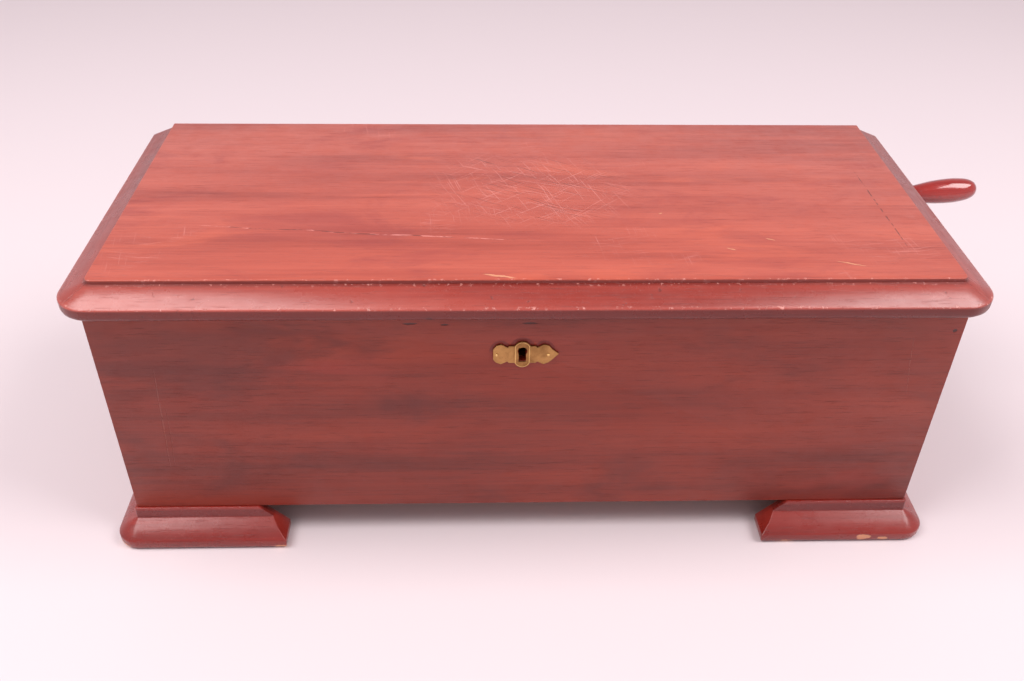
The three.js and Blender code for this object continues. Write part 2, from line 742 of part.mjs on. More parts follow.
function leafPocket(x, z0, z1) {
  const half = HINGE_LENGTH / 2 + SEAM;
  return block(x - half, x + half, CASE_DEPTH - HINGE_LEAF_DEPTH - SEAM, CASE_DEPTH + CUT, z0, z1);
}

// One leaf, with every other knuckle: the case leaf has the first, and the lid leaf the second.
function hingeLeaf(name, x, ofLid) {
  const half = HINGE_LENGTH / 2;
  const z0 = ofLid ? lidBottom + SEAM : bodyTop - SEAM - HINGE_LEAF;
  const axis = { y: hingeY, z: hingeZ };
  const plateEnd = CASE_DEPTH - SEAM;
  let leaf = block(x - half, x + half, CASE_DEPTH - HINGE_LEAF_DEPTH, plateEnd, z0, z0 + HINGE_LEAF);
  const pitch = HINGE_LENGTH / KNUCKLES;
  for (let i = ofLid ? 1 : 0; i < KNUCKLES; i += 2) {
    const x0 = x - half + i * pitch + RUNNING_GAP / 2;
    const x1 = x - half + (i + 1) * pitch - RUNNING_GAP / 2;
    const tongue = block(x0, x1, plateEnd - CUT, hingeY, z0, z0 + HINGE_LEAF);
    leaf = together(leaf, tongue, rodX(KNUCKLE_RADIUS, x0, x1, axis, 14));
  }
  const bore = boreX(HINGE_PIN_RADIUS + RUNNING_GAP, x - half - CUT, x + half + CUT, axis, PIN_SIDES);
  return piece(name, without(leaf, bore), BRASS);
}

function hingePin(name, x) {
  const half = HINGE_LENGTH / 2 + HINGE_PIN_END;
  const axis = { y: hingeY, z: hingeZ };
  return piece(name, rodX(HINGE_PIN_RADIUS, x - half, x + half, axis, PIN_SIDES), BRASS);
}

// ---- Lock and keyhole plate ----

function keyholeShape() {
  const half = KEYHOLE_SLOT / 2;
  const shape = new THREE.Shape();
  const start = Math.asin(half / KEYHOLE_RADIUS);
  shape.absarc(PLATE_OFFSET, keyholeZ, KEYHOLE_RADIUS, start - Math.PI / 2, 1.5 * Math.PI - start);
  shape.lineTo(PLATE_OFFSET - half, keyholeZ - KEYHOLE_DROP);
  shape.lineTo(PLATE_OFFSET + half, keyholeZ - KEYHOLE_DROP);
  return shape;
}

// The keyhole plate: round bosses above and below the keyhole, between two leaf-shaped wings.
// The left wing has lost its tip.
function escutcheon() {
  const wing = [
    [9.8, PLATE_BODY], [10.4, 6], [15.2, 8.9], [18.9, 7.8], [21.5, 4.4], [26.2, 0.6],
    [21.7, -4.4], [18.9, -7.2], [15.4, -8.6], [10.6, -6.1], [9.9, -PLATE_BODY],
  ];
  const broken = wing.map(([x, z]) => [-Math.min(x, PLATE_BREAK), z]).reverse();
  const centre = keyholeZ - KEYHOLE_ABOVE_MIDDLE;
  const placed = [...wing, ...broken].map(([x, z]) => [PLATE_OFFSET + x, centre + z]);
  const [y0, y1] = [-PLATE_THICKNESS - SEAM, -SEAM];
  const bosses = [-PLATE_BOSS_RISE, PLATE_BOSS_RISE].map((rise) => {
    return prismY(disc(PLATE_BOSS_RADIUS, PLATE_OFFSET, centre + rise), y0, y1, 9);
  });
  const plate = together(prismY(outline(placed), y0, y1), ...bosses);
  return piece('escutcheon', without(plate, prismY(keyholeShape(), y0 - CUT, CUT)), BRASS);
}

// The lock: a box let into the front panel, with a slot for the staple and a way for the bolt.
function lockCase() {
  const body = block(lockLeft, lockRight, lockFront, lockBack, lockBottom, bodyTop - SEAM);
  const room = STAPLE_WIDTH / 2 + STAPLE_ROOM;
  const slot = block(
    PLATE_OFFSET - room, PLATE_OFFSET + room,
    strikeY - STAPLE / 2 - STAPLE_ROOM, strikeY + STAPLE / 2 + STAPLE_ROOM,
    lidBottom - STRIKE_DEPTH - 2 * STAPLE_ROOM, bodyTop + CUT,
  );
  const wayDepth = BOLT_THICKNESS / 2 + RUNNING_GAP;
  const way = block(
    lockLeft + LOCK_WALL, lockRight - LOCK_WALL,
    strikeY - wayDepth, strikeY + wayDepth,
    boltZ - BOLT_HEIGHT / 2 - RUNNING_GAP, boltZ + BOLT_HEIGHT / 2 + RUNNING_GAP,
  );
  const keyhole = prismY(keyholeShape(), lockFront - CUT, lockBack + CUT);
  return piece('lock_case', without(body, slot, way, keyhole), BRASS);
}

function lockBolt() {
  const bolt = block(
    lockLeft + LOCK_WALL + CUT, PLATE_OFFSET - STAPLE_WIDTH / 2 - BOLT_FROM_STAPLE,
    strikeY - BOLT_THICKNESS / 2, strikeY + BOLT_THICKNESS / 2,
    boltZ - BOLT_HEIGHT / 2, boltZ + BOLT_HEIGHT / 2,
  );
  return piece('lock_bolt', bolt, STEEL);
}

// The staple under the lid, with the notch that the bolt enters.
function lockStaple() {
  const plate = block(
    PLATE_OFFSET - STRIKE_WIDTH / 2, PLATE_OFFSET + STRIKE_WIDTH / 2,
    strikeY - STRIKE_PLATE / 2, strikeY + STRIKE_PLATE / 2,
    lidBottom, lidBottom + HINGE_LEAF,
  );
  const staple = block(
    PLATE_OFFSET - STAPLE_WIDTH / 2, PLATE_OFFSET + STAPLE_WIDTH / 2,
    strikeY - STAPLE / 2, strikeY + STAPLE / 2,
    lidBottom - STRIKE_DEPTH, lidBottom + HINGE_LEAF,
  );
  const notch = block(
    PLATE_OFFSET - STAPLE_WIDTH, PLATE_OFFSET + STAPLE_WIDTH / 2 - 2 * STAPLE_ROOM,
    strikeY - STAPLE, strikeY + STAPLE,
    boltZ - BOLT_HEIGHT / 2 - STAPLE_ROOM, boltZ + BOLT_HEIGHT / 2 + STAPLE_ROOM,
  );
  return piece('lock_staple', without(together(plate, staple), notch), BRASS);
}

// ---- Inner glass lid ----

function innerLidFrame() {
  const half = innerLidHalf;
  const [z0, z1] = [innerLidZ - INNER_LID_THICKNESS / 2, innerLidZ + INNER_LID_THICKNESS / 2];
  const bar = INNER_LID_BAR;
  const board = block(-half, half, innerLidFront, innerLidBack, z0, z1);
  const window = block(
    -half + bar, half - bar,
    innerLidFront + bar, innerLidBack - bar,
    z0 - CUT, z1 + CUT,
  );
  const rebate = glassBlock(SEAM, z1 + CUT);
  const pins = [-1, 1].map((side) => {
    const ends = [side * (half - INNER_PIN_DEPTH - CUT), side * (half + CUT)].sort((a, b) => a - b);
    const axis = { y: innerPinY, z: innerLidZ };
    return boreX(INNER_PIN_RADIUS + RUNNING_GAP, ...ends, axis, PIN_SIDES);
  });
  return piece('inner_lid_frame', without(board, window, rebate, ...pins), WOOD_BLACK);
}

// The glass lies in a rebate that laps the frame by half the bar.
function glassBlock(extra, top) {
  const half = innerLidHalf - INNER_LID_BAR / 2 + extra;
  const z0 = glassTop - GLASS_THICKNESS - extra;
  return block(
    -half, half,
    innerLidFront + INNER_LID_BAR / 2 - extra, innerLidBack - INNER_LID_BAR / 2 + extra,
    z0, top,
  );
}

function innerLidGlass() {
  return piece('inner_lid_glass', glassBlock(0, glassTop), GLASS);
}

function innerLidPin(name, side) {
  const near = side * (innerLidHalf - INNER_PIN_DEPTH);
  const far = side * (partitionInner + PARTITION);
  const [x0, x1] = [Math.min(near, far), Math.max(near, far)];
  const axis = { y: innerPinY, z: innerLidZ };
  return piece(name, rodX(INNER_PIN_RADIUS, x0, x1, axis, PIN_SIDES), BRASS);
}

// ---- Bedplate, brackets and bearings ----

function bedplate() {
  const under = bedTop - BED_THICKNESS;
  const feetX = bedHalf - BED_FOOT_INSET;
  const plate = block(-bedHalf, bedHalf, bedFront, bedBack, under, bedTop);
  const feet = [-feetX, feetX].flatMap((x) => {
    return [bedFront + BED_FOOT_INSET, bedBack - BED_FOOT_INSET].map((y) => {
      return rodZ(BED_FOOT_RADIUS, floorTop + SEAM, under + CUT, x, y);
    });
  });
  return piece('bedplate', together(plate, ...feet), IRON);
}

function hole(radius, x, at) {
  return boreX(radius + RUNNING_GAP, x - CUT, x + BRACKET + CUT, at);
}

// The outer bracket holds the barrel arbor, the winding shaft and the click's stud.
function outerBracket() {
  const z0 = bedTop + SEAM;
  const back = bedBack - 2;
  const top = shaft.z + BRACKET_ABOVE_AXIS;
  const plan = outline([
    [barrel.y - 32, z0], [back, z0], [back, shaft.z], [shaft.y + 5, top], [shaft.y - 10, top],
    [clickPivot.y, clickPivot.z + 8], [clickPivot.y - 8, clickPivot.z],
  ]);
  const plate = prismX(plan, outerBracketX, outerBracketX + BRACKET);
  const studEnd = ratchetX + RATCHET_WIDTH + CUT;
  const stud = rodX(CLICK_STUD_RADIUS, outerBracketX + BRACKET - CUT, studEnd, clickPivot, PIN_SIDES);
  const body = without(
    together(plate, stud),
    hole(BARREL_ARBOR_RADIUS, outerBracketX, barrel),
    hole(SHAFT_RADIUS, outerBracketX, shaft),
  );
  return piece('spring_bracket_outer', body, BRASS);
}

// The inner bracket holds the barrel arbor's right end and the cylinder arbor's left end.
function innerBracket() {
  const z0 = bedTop + SEAM;
  const top = axisZ + BRACKET_ABOVE_AXIS;
  const plan = outline([
    [cylinder.y - 16, z0], [barrel.y + 16, z0], [barrel.y + 13, axisZ], [barrel.y + 6, top],
    [cylinder.y - 6, top], [cylinder.y - 13, axisZ],
  ]);
  const body = without(
    prismX(plan, innerBracketX, innerBracketX + BRACKET),
    hole(BARREL_ARBOR_RADIUS, innerBracketX, barrel),
    hole(CYLINDER_ARBOR_RADIUS, innerBracketX, cylinder),
  );
  return piece('spring_bracket_inner', body, BRASS);
}

function cylinderBearing() {
  const z0 = bedTop + SEAM;
  const top = axisZ + BRACKET_ABOVE_AXIS;
  const plan = outline([
    [cylinder.y - 15, z0], [cylinder.y + 15, z0], [cylinder.y + 10, axisZ],
    [cylinder.y + 5, top], [cylinder.y - 5, top], [cylinder.y - 10, axisZ],
  ]);
  const plate = prismX(plan, rightBearingX, rightBearingX + BRACKET);
  const bearing = hole(CYLINDER_ARBOR_RADIUS, rightBearingX, cylinder);
  return piece('cylinder_bearing', plate.subtract(bearing), BRASS);
}

// ---- Winding ----

function windingBush() {
  const r = SHAFT_RADIUS + RUNNING_GAP;
  const outer = halfLength + SEAM;
  const face = outer + BUSH_FLANGE_THICKNESS;
  const bush = turnedX([
    [r, innerHalf], [BUSH_RADIUS, innerHalf], [BUSH_RADIUS, outer], [BUSH_FLANGE, outer],
    [BUSH_FLANGE, face - BUSH_CHAMFER], [BUSH_FLANGE - BUSH_CHAMFER, face], [r, face], [r, innerHalf],
  ], shaft);
  return piece('winding_bush', bush, BRASS);
}

function windingShaft() {
  const end = crankX + CRANK_ARM + CRANK_NUT;
  return piece('winding_shaft', rodX(SHAFT_RADIUS, outerBracketX - ARBOR_END, end, shaft), STEEL);
}

function windingPinion() {
  const pinion = pinionOf(WINDING, shaft, barrel, SHAFT_RADIUS + SEAM, windingX);
  return piece('winding_pinion', pinion, STEEL);
}

function windingWheel() {
  const wheel = wheelOf(WINDING, barrel, shaft, BARREL_ARBOR_RADIUS + SEAM, windingX);
  return piece('winding_wheel', wheel, BRASS);
}

function crankArm() {
  const half = CRANK_ARM_WIDTH / 2;
  const angle = Math.atan2(grip.z - shaft.z, grip.y - shaft.y);
  const shape = new THREE.Shape();
  shape.absarc(shaft.y, shaft.z, half + CRANK_BOSS, angle + 0.6 * Math.PI, angle + 1.4 * Math.PI);
  shape.absarc(grip.y, grip.z, half, angle - Math.PI / 2, angle + Math.PI / 2);
  const body = without(
    prismX(shape, crankX, crankX + CRANK_ARM),
    boreX(SHAFT_RADIUS + SEAM, crankX - CUT, crankX + CRANK_ARM + CUT, shaft),
    gripPinSolid(GRIP_PIN_RADIUS + SEAM, -CUT),
  );
  return piece('crank_arm', body, STEEL);
}

// The grip's pin, from the inner face of the arm: it leans as the grip does.
function gripPinSolid(radius, from) {
  const to = CRANK_ARM + GRIP_LENGTH * GRIP_PIN_SHARE;
  const geometry = new THREE.CylinderGeometry(radius, radius, to - from, 14);
  geometry.rotateZ(-Math.PI / 2).translate((from + to) / 2, 0, 0);
  return solid(geometry.applyMatrix4(gripPlace()));
}

function gripPlace() {
  const turn = new THREE.Quaternion().setFromEuler(gripTurn);
  const at = new THREE.Vector3(crankX, grip.y, grip.z);
  return new THREE.Matrix4().compose(at, turn, new THREE.Vector3(1, 1, 1));
}

function gripPin() {
  return piece('grip_pin', gripPinSolid(GRIP_PIN_RADIUS, 0), STEEL);
}

function crankNut() {
  const x0 = crankX + CRANK_ARM + SEAM;
  const x1 = x0 + CRANK_NUT;
  const nut = rodX(CRANK_NUT_RADIUS, x0, x1, shaft, 6);
  return piece('crank_nut', nut.subtract(boreX(SHAFT_RADIUS + SEAM, x0 - CUT, x1 + CUT, shaft)), STEEL);
}

// The turned grip: a slim neck at the arm, a full belly two thirds along, and a blunt tip.
function crankGrip() {
  const start = CRANK_ARM + 1;
  const bore = GRIP_PIN_RADIUS + RUNNING_GAP;
  const boreEnd = CRANK_ARM + GRIP_LENGTH * GRIP_PIN_SHARE + END_PLAY;
  const neck = GRIP_NECK_RADIUS;
  const belly = GRIP_RADIUS;
  const swell = (share) => neck + (belly - neck) * share;
  const along = (share) => start + (GRIP_LENGTH - 1) * share;
  const profile = [
    [bore, start], [neck - 0.8, start], [neck, along(0.03)], [neck - 0.6, along(0.09)],
    [neck, along(0.2)], [swell(0.45), along(0.35)], [swell(0.85), along(0.5)],
    [belly, along(0.66)], [belly * 0.98, along(0.76)], [belly * 0.88, along(0.87)],
    [belly * 0.68, along(0.95)], [belly * 0.38, along(0.99)], [0, along(1)],
    [0, boreEnd], [bore, boreEnd], [bore, start],
  ];
  const points = profile.map(([r, x]) => new THREE.Vector2(r, x));
  const geometry = new THREE.LatheGeometry(points, 16);
  const toX = new THREE.Matrix4().makeBasis(Y, X, Z.clone().negate());
  const body = solid(geometry.applyMatrix4(toX).applyMatrix4(gripPlace()));
  return piece('crank_grip', body, WOOD_DARK);
}

// ---- Spring barrel and ratchet ----

function barrelArbor() {
  const x1 = innerBracketX + BRACKET + ARBOR_END;
  return piece('barrel_arbor', rodX(BARREL_ARBOR_RADIUS, outerBracketX - ARBOR_END, x1, barrel), STEEL);
}

function ratchetWheel() {
  const points = [];
  for (let i = 0; i < RATCHET_TEETH; i++) {
    const angle = i * 2 * Math.PI / RATCHET_TEETH;
    for (const r of [RATCHET_RADIUS, RATCHET_RADIUS - RATCHET_DEPTH]) {
      points.push([barrel.y + r * Math.cos(angle), barrel.z + r * Math.sin(angle)]);
    }
  }
  const x1 = ratchetX + RATCHET_WIDTH;
  const bore = boreX(BARREL_ARBOR_RADIUS + SEAM, ratchetX - CUT, x1 + CUT, barrel);
  return piece('ratchet_wheel', prismX(outline(points), ratchetX, x1).subtract(bore), STEEL);
}

// The click hangs from its stud, with its hooked tip beside the ratchet's rim.
function click() {
  const { y, z } = clickPivot;
  const shape = new THREE.Shape();
  shape.absarc(y, z, CLICK_EYE_RADIUS, 0.1 * Math.PI, 0.9 * Math.PI);
  shape.lineTo(clickTipY - 5, axisZ + 3);
  shape.lineTo(clickTipY - 4, axisZ - 2);
  shape.lineTo(clickTipY, axisZ + 1);
  shape.lineTo(clickTipY - 1.5, axisZ + 10);
  const [x0, x1] = [ratchetX + RUNNING_GAP, ratchetX + RATCHET_WIDTH - RUNNING_GAP];
  const eye = boreX(CLICK_STUD_RADIUS + RUNNING_GAP, x0 - CUT, x1 + CUT, clickPivot, PIN_SIDES);
  return piece('click', prismX(shape, x0, x1).subtract(eye), STEEL);
}

// A leaf spring that stands on the bedplate and presses on the click's back.
function clickSpring() {
  const [x0, x1] = [ratchetX, ratchetX + RATCHET_WIDTH];
  const y = clickTipY - CLICK_SPRING_BEHIND_TIP;
  const z0 = bedTop + SEAM;
  const top = axisZ + CLICK_SPRING_ABOVE_AXIS;
  const leaf = block(x0, x1, y, y + CLICK_SPRING_LEAF, z0, top);
  const foot = block(x0, x1, y - CLICK_SPRING_FOOT, y + CLICK_SPRING_LEAF, z0, z0 + CLICK_SPRING_LEAF);
  const curl = block(x0, x1, y, y + CLICK_SPRING_CURL, top - CLICK_SPRING_LEAF, top);
  return piece('click_spring', together(foot, leaf, curl), BLUED);
}

// The barrel: a drum closed at its right end, with the great wheel on a hub outside that end.
function springBarrel() {
  const inner = BARREL_RADIUS - BARREL_WALL;
  const bore = BARREL_ARBOR_RADIUS + RUNNING_GAP;
  const drum = turnedX([
    [inner, barrelX], [BARREL_RADIUS, barrelX], [BARREL_RADIUS, driveX - SEAM],
    [BARREL_HUB, driveX - SEAM], [BARREL_HUB, driveX + CUT], [bore, driveX + CUT],
    [bore, driveX - BARREL_WALL], [inner, driveX - BARREL_WALL], [inner, barrelX],
  ], barrel, 30);
  return piece('spring_barrel', drum.add(wheelOf(DRIVE, barrel, cylinder, bore, driveX)), BRASS);
}

function barrelCap() {
  const r = BARREL_RADIUS - BARREL_WALL - SEAM;
  const x1 = barrelX + BARREL_WALL;
  const bore = boreX(BARREL_ARBOR_RADIUS + RUNNING_GAP, barrelX - CUT, x1 + CUT, barrel);
  return piece('barrel_cap', rodX(r, barrelX, x1, barrel, 30).subtract(bore), BRASS);
}

// The mainspring: a strip wound in a flat spiral between the arbor and the drum.
function mainspring() {
  const steps = SPRING_TURNS * 12;
  const from = BARREL_ARBOR_RADIUS + 2;
  const to = BARREL_RADIUS - BARREL_WALL - 1.5;
  const ring = (extra) => Array.from({ length: steps + 1 }, (_, i) => {
    const angle = i / steps * SPRING_TURNS * 2 * Math.PI;
    const r = from + (to - from) * i / steps + extra;
    return [barrel.y + r * Math.cos(angle), barrel.z + r * Math.sin(angle)];
  });
  const shape = outline([...ring(SPRING_STRIP / 2), ...ring(-SPRING_STRIP / 2).reverse()]);
  const x0 = barrelX + BARREL_WALL + END_PLAY;
  return piece('mainspring', prismX(shape, x0, driveX - BARREL_WALL - END_PLAY), BLUED);
}

// ---- Cylinder and comb ----

// The cylinder's arbor, with the pinion that the barrel drives cut on its left end.
function cylinderArbor() {
  const x1 = rightBearingX + BRACKET + ARBOR_END;
  const rod = rodX(CYLINDER_ARBOR_RADIUS, driveX - ARBOR_END, x1, cylinder);
  const pinion = pinionOf(DRIVE, cylinder, barrel, CYLINDER_ARBOR_RADIUS / 2, driveX);
  return piece('cylinder_arbor', rod.add(pinion), STEEL);
}

function cylinderWheel() {
  const wheel = wheelOf(FIRST, cylinder, firstArbor, CYLINDER_ARBOR_RADIUS + SEAM, firstX);
  return piece('cylinder_great_wheel', wheel, BRASS);
}

// The cylinder: a tube with a wall at each end, the right one pierced to lighten it.
function pinnedCylinder() {
  const outer = rodX(CYLINDER_RADIUS, cylinderLeft, cylinderRight, cylinder, 36);
  const [x0, x1] = [cylinderLeft + CYLINDER_END, cylinderRight - CYLINDER_END];
  const room = rodX(CYLINDER_RADIUS - CYLINDER_WALL, x0, x1, cylinder, 24);
  const bore = boreX(CYLINDER_ARBOR_RADIUS + SEAM, cylinderLeft - CUT, cylinderRight + CUT, cylinder);
  const piercings = [90, 210, 330].map((degrees) => {
    const at = beside(cylinder, CYLINDER_RADIUS * 0.55, degrees);
    return rodX(CYLINDER_PIERCING, x1 - CUT, cylinderRight + CUT, at, PIN_SIDES);
  });
  return piece('pinned_cylinder', without(outer, room, bore, ...piercings), BRASS);
}

function combBase() {
  const y0 = combSpineY - COMB_SPINE;
  const z1 = axisZ - COMB_THICKNESS / 2 - SEAM;
  const y1 = combSpineY - COMB_OVER_BASE;
  const base = block(cylinderLeft, cylinderRight, y0, y1, bedTop + SEAM, z1);
  return piece('comb_base', base, IRON);
}

function comb() {
  const [left, right] = [cylinderLeft + COMB_END_GAP, cylinderRight - COMB_END_GAP];
  const pitch = (right - left) / COMB_TEETH;
  const half = pitch * (1 - COMB_GAP_SHARE) / 2;
  const spine = combSpineY;
  const points = [[right, spine - COMB_SPINE], [right, spine]];
  for (let i = COMB_TEETH - 1; i >= 0; i--) {
    const x = left + (i + 0.5) * pitch;
    points.push([x + half, spine], [x + COMB_TIP / 2, combTipY]);
    points.push([x - COMB_TIP / 2, combTipY], [x - half, spine]);
  }
  points.push([left, spine], [left, spine - COMB_SPINE]);
  const z0 = axisZ - COMB_THICKNESS / 2;
  return piece('comb', prismZ(outline(points), z0, z0 + COMB_THICKNESS), STEEL);
}

// ---- Governor ----

function governorFrame() {
  const z0 = bedTop + SEAM;
  const [y0, y1] = [worm.y - 8, firstArbor.y + 7];
  const plate = outline([
    [y0, z0], [y1, z0], [y1, firstArbor.z + 3], [firstArbor.y, firstArbor.z + 8],
    [secondArbor.y - 4, secondArbor.z + 9], [y0, secondArbor.z],
  ]);
  const [x0, x1] = [governorLeft, governorRight];
  const plateX = x1 - GOVERNOR_PLATE;
  const cockTop = cockZ + COCK;
  const half = COCK_HALF_WIDTH;
  const body = without(
    together(
      prismX(plate, x0, x0 + GOVERNOR_PLATE),
      prismX(plate, plateX, x1),
      block(x0, x1, y0, y1, z0, z0 + GOVERNOR_BASE),
      block(plateX, x1, y0, y0 + POST_WIDTH, z0, cockTop),
      block(wormX - 4, x1, worm.y - half, worm.y + half, cockZ, cockTop),
    ),
    boreX(FIRST_ARBOR_RADIUS + RUNNING_GAP, x0 - CUT, x1 + CUT, firstArbor, PIN_SIDES),
    boreX(SECOND_ARBOR_RADIUS + RUNNING_GAP, x0 - CUT, x1 + CUT, secondArbor, PIN_SIDES),
    boreZ(SPINDLE_RADIUS + RUNNING_GAP, z0 + 1.5, cockTop + CUT, wormX, worm.y, PIN_SIDES),
  );
  return piece('governor_frame', body, BRASS);
}

function arborOf(radius, at) {
  return rodX(radius, governorLeft - 1, governorRight + 1, at, PIN_SIDES);
}

function governorFirst() {
  const pinion = pinionOf(FIRST, firstArbor, cylinder, FIRST_ARBOR_RADIUS / 2, firstX);
  const wheel = wheelOf(SECOND, firstArbor, secondArbor, FIRST_ARBOR_RADIUS / 2, secondX);
  const body = together(arborOf(FIRST_ARBOR_RADIUS, firstArbor), pinion, wheel);
  return piece('governor_first_wheel', body, BRASS);
}

function governorSecond() {
  const bore = SECOND_ARBOR_RADIUS / 2;
  const pinion = pinionOf(SECOND, secondArbor, firstArbor, bore, secondX);
  const towardsWorm = Math.PI;
  const wheel = gear(WORM.wheel, WORM.module, towardsWorm, bore, wormWheelX, WORM.width, secondArbor);
  const body = together(arborOf(SECOND_ARBOR_RADIUS, secondArbor), pinion, wheel);
  return piece('governor_second_wheel', body, BRASS);
}

// The endless screw: a core with one round thread, on a thin spindle. The thread's start angle
// sets a gap of the screw against a tooth of the worm wheel.
function governorWorm() {
  const pitch = Math.PI * WORM.module;
  const steps = 10 * WORM.turns;
  const points = Array.from({ length: steps + 1 }, (_, i) => {
    const angle = WORM.phase + i / steps * WORM.turns * 2 * Math.PI;
    const z = worm.z + (i / steps - 0.5) * WORM.turns * pitch;
    return new THREE.Vector3(wormX + WORM.line * Math.cos(angle), worm.y + WORM.line * Math.sin(angle), z);
  });
  const path = new THREE.CatmullRomCurve3(points);
  const section = disc(WORM.thread);
  const thread = new THREE.ExtrudeGeometry(section, { steps, extrudePath: path, curveSegments: 3 });
  const half = WORM.turns * pitch / 2 + 1;
  const [foot, top] = [bedTop + SEAM + 2, cockZ + COCK + FAN_HEIGHT + 3];
  const body = together(
    solid(thread),
    rodZ(WORM.core, worm.z - half, worm.z + half, wormX, worm.y),
    rodZ(SPINDLE_RADIUS, foot, top, wormX, worm.y, PIN_SIDES),
  );
  return piece('governor_worm', body, STEEL);
}

function governorFan() {
  const z0 = cockZ + COCK + FAN_GAP;
  const z1 = cockZ + COCK + FAN_HEIGHT;
  const half = FAN_BLADE / 2;
  const blades = block(wormX - FAN_SPAN, wormX + FAN_SPAN, worm.y - half, worm.y + half, z0, z1);
  const hub = rodZ(FAN_HUB_RADIUS, z0, z1, wormX, worm.y, PIN_SIDES);
  const bore = boreZ(SPINDLE_RADIUS + SEAM, z0 - CUT, z1 + CUT, wormX, worm.y, PIN_SIDES);
  return piece('governor_fan', together(blades, hub).subtract(bore), BRASS);
}

// ---- Start lever ----

function leverStand() {
  const z0 = bedTop + SEAM;
  const { halfLength: along, halfDepth: across, thickness } = LEVER_STAND;
  const foot = block(
    leverX - along, leverX + along,
    lever.y - across, lever.y + across,
    z0, z0 + thickness,
  );
  const near = LEVER_WIDTH / 2 + END_PLAY;
  const far = near + LEVER_CHEEK;
  const cheeks = [[-far, -near], [near, far]].map(([x0, x1]) => {
    return block(leverX + x0, leverX + x1, lever.y - across / 2, lever.y + across / 2, z0, lever.z + 6);
  });
  const pin = rodX(LEVER_PIN_RADIUS, leverX - far + CUT, leverX + far - CUT, lever, PIN_SIDES);
  return piece('lever_stand', together(foot, ...cheeks, pin), BRASS);
}

function startLever() {
  const top = lever.z + LEVER_LENGTH;
  const shape = new THREE.Shape();
  shape.absarc(lever.y, lever.z, LEVER_EYE_RADIUS, Math.PI, 2 * Math.PI);
  shape.lineTo(lever.y + 3, top);
  shape.absarc(lever.y, top, LEVER_TIP_RADIUS, 0, Math.PI);
  const bar = prismX(shape, leverX - LEVER_WIDTH / 2, leverX + LEVER_WIDTH / 2);
  const [x0, x1] = [leverX - LEVER_WIDTH, leverX + LEVER_WIDTH];
  const bore = boreX(LEVER_PIN_RADIUS + RUNNING_GAP, x0, x1, lever, PIN_SIDES);
  return piece('start_lever', bar.subtract(bore), STEEL);
}

// ---- The whole object ----

const box = new THREE.Group();
box.add(
  frontPanel(), backPanel(), sidePanel('left_panel', -1), sidePanel('right_panel', 1),
  bottomBoard(), partition('partition_left', -1), partition('partition_right', 1),
  foot('foot_front_left', -1, false), foot('foot_front_right', 1, false),
  foot('foot_back_left', -1, true), foot('foot_back_right', 1, true),
  lidBoard(), mouldingFront(),
  mouldingSide('lid_moulding_left', -1), mouldingSide('lid_moulding_right', 1),
  escutcheon(), lockCase(), lockBolt(), lockStaple(),
  innerLidFrame(), innerLidGlass(),
  innerLidPin('inner_lid_pin_left', -1), innerLidPin('inner_lid_pin_right', 1),
);
for (const [side, x] of [['left', -hingeX], ['right', hingeX]]) {
  box.add(hingeLeaf(`hinge_${side}_case_leaf`, x, false), hingeLeaf(`hinge_${side}_lid_leaf`, x, true));
  box.add(hingePin(`hinge_${side}_pin`, x));
}
box.add(
  bedplate(), outerBracket(), innerBracket(), cylinderBearing(),
  windingBush(), windingShaft(), windingPinion(), crankArm(), crankNut(), gripPin(), crankGrip(),
  barrelArbor(), windingWheel(), ratchetWheel(), click(), clickSpring(),
  springBarrel(), barrelCap(), mainspring(),
  cylinderArbor(), cylinderWheel(), pinnedCylinder(), combBase(), comb(),
  governorFrame(), governorFirst(), governorSecond(), governorWorm(), governorFan(),
  leverStand(), startLever(),
);

// Joint axes, as points and directions in case coordinates.
const gripAxis = new THREE.Vector3(1, 0, 0).applyEuler(gripTurn);
box.userData.axes = {
  lid_hinge: [[0, hingeY, hingeZ], [-1, 0, 0]],
  inner_lid_hinge: [[0, innerPinY, innerLidZ], [-1, 0, 0]],
  lock_bolt_slide: [[0, strikeY, boltZ], [1, 0, 0]],
  crank_turn: [[crankX, shaft.y, shaft.z], [1, 0, 0]],
  grip_spin: [[crankX, grip.y, grip.z], gripAxis.toArray()],
  barrel_arbor_turn: [[windingX, barrel.y, barrel.z], [1, 0, 0]],
  click_pivot: [[ratchetX, clickPivot.y, clickPivot.z], [-1, 0, 0]],
  cylinder_turn: [[0, cylinder.y, cylinder.z], [1, 0, 0]],
  barrel_turn: [[driveX, barrel.y, barrel.z], [1, 0, 0]],
  first_wheel_turn: [[firstX, firstArbor.y, firstArbor.z], [1, 0, 0]],
  second_wheel_turn: [[secondX, secondArbor.y, secondArbor.z], [1, 0, 0]],
  worm_turn: [[wormX, worm.y, worm.z], [0, 0, 1]],
  start_lever_swing: [[leverX, lever.y, lever.z], [1, 0, 0]],
};

// The origin is at the middle of the whole object's footprint, on the surface it stands on.
const extent = new THREE.Box3().setFromObject(box, true);
const middle = extent.getCenter(new THREE.Vector3());
box.position.set(-middle.x, -middle.y, -extent.min.z);

export default box;
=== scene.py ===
"""The looks of a wind-up cylinder music box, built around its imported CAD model.

Lengths are metres in the frame's coordinates: X runs along the case, Y from its front to its
back, and Z up from the surface that it stands on.
"""
import json
import math
import random

import bmesh
import bpy
from mathutils import Matrix, Vector


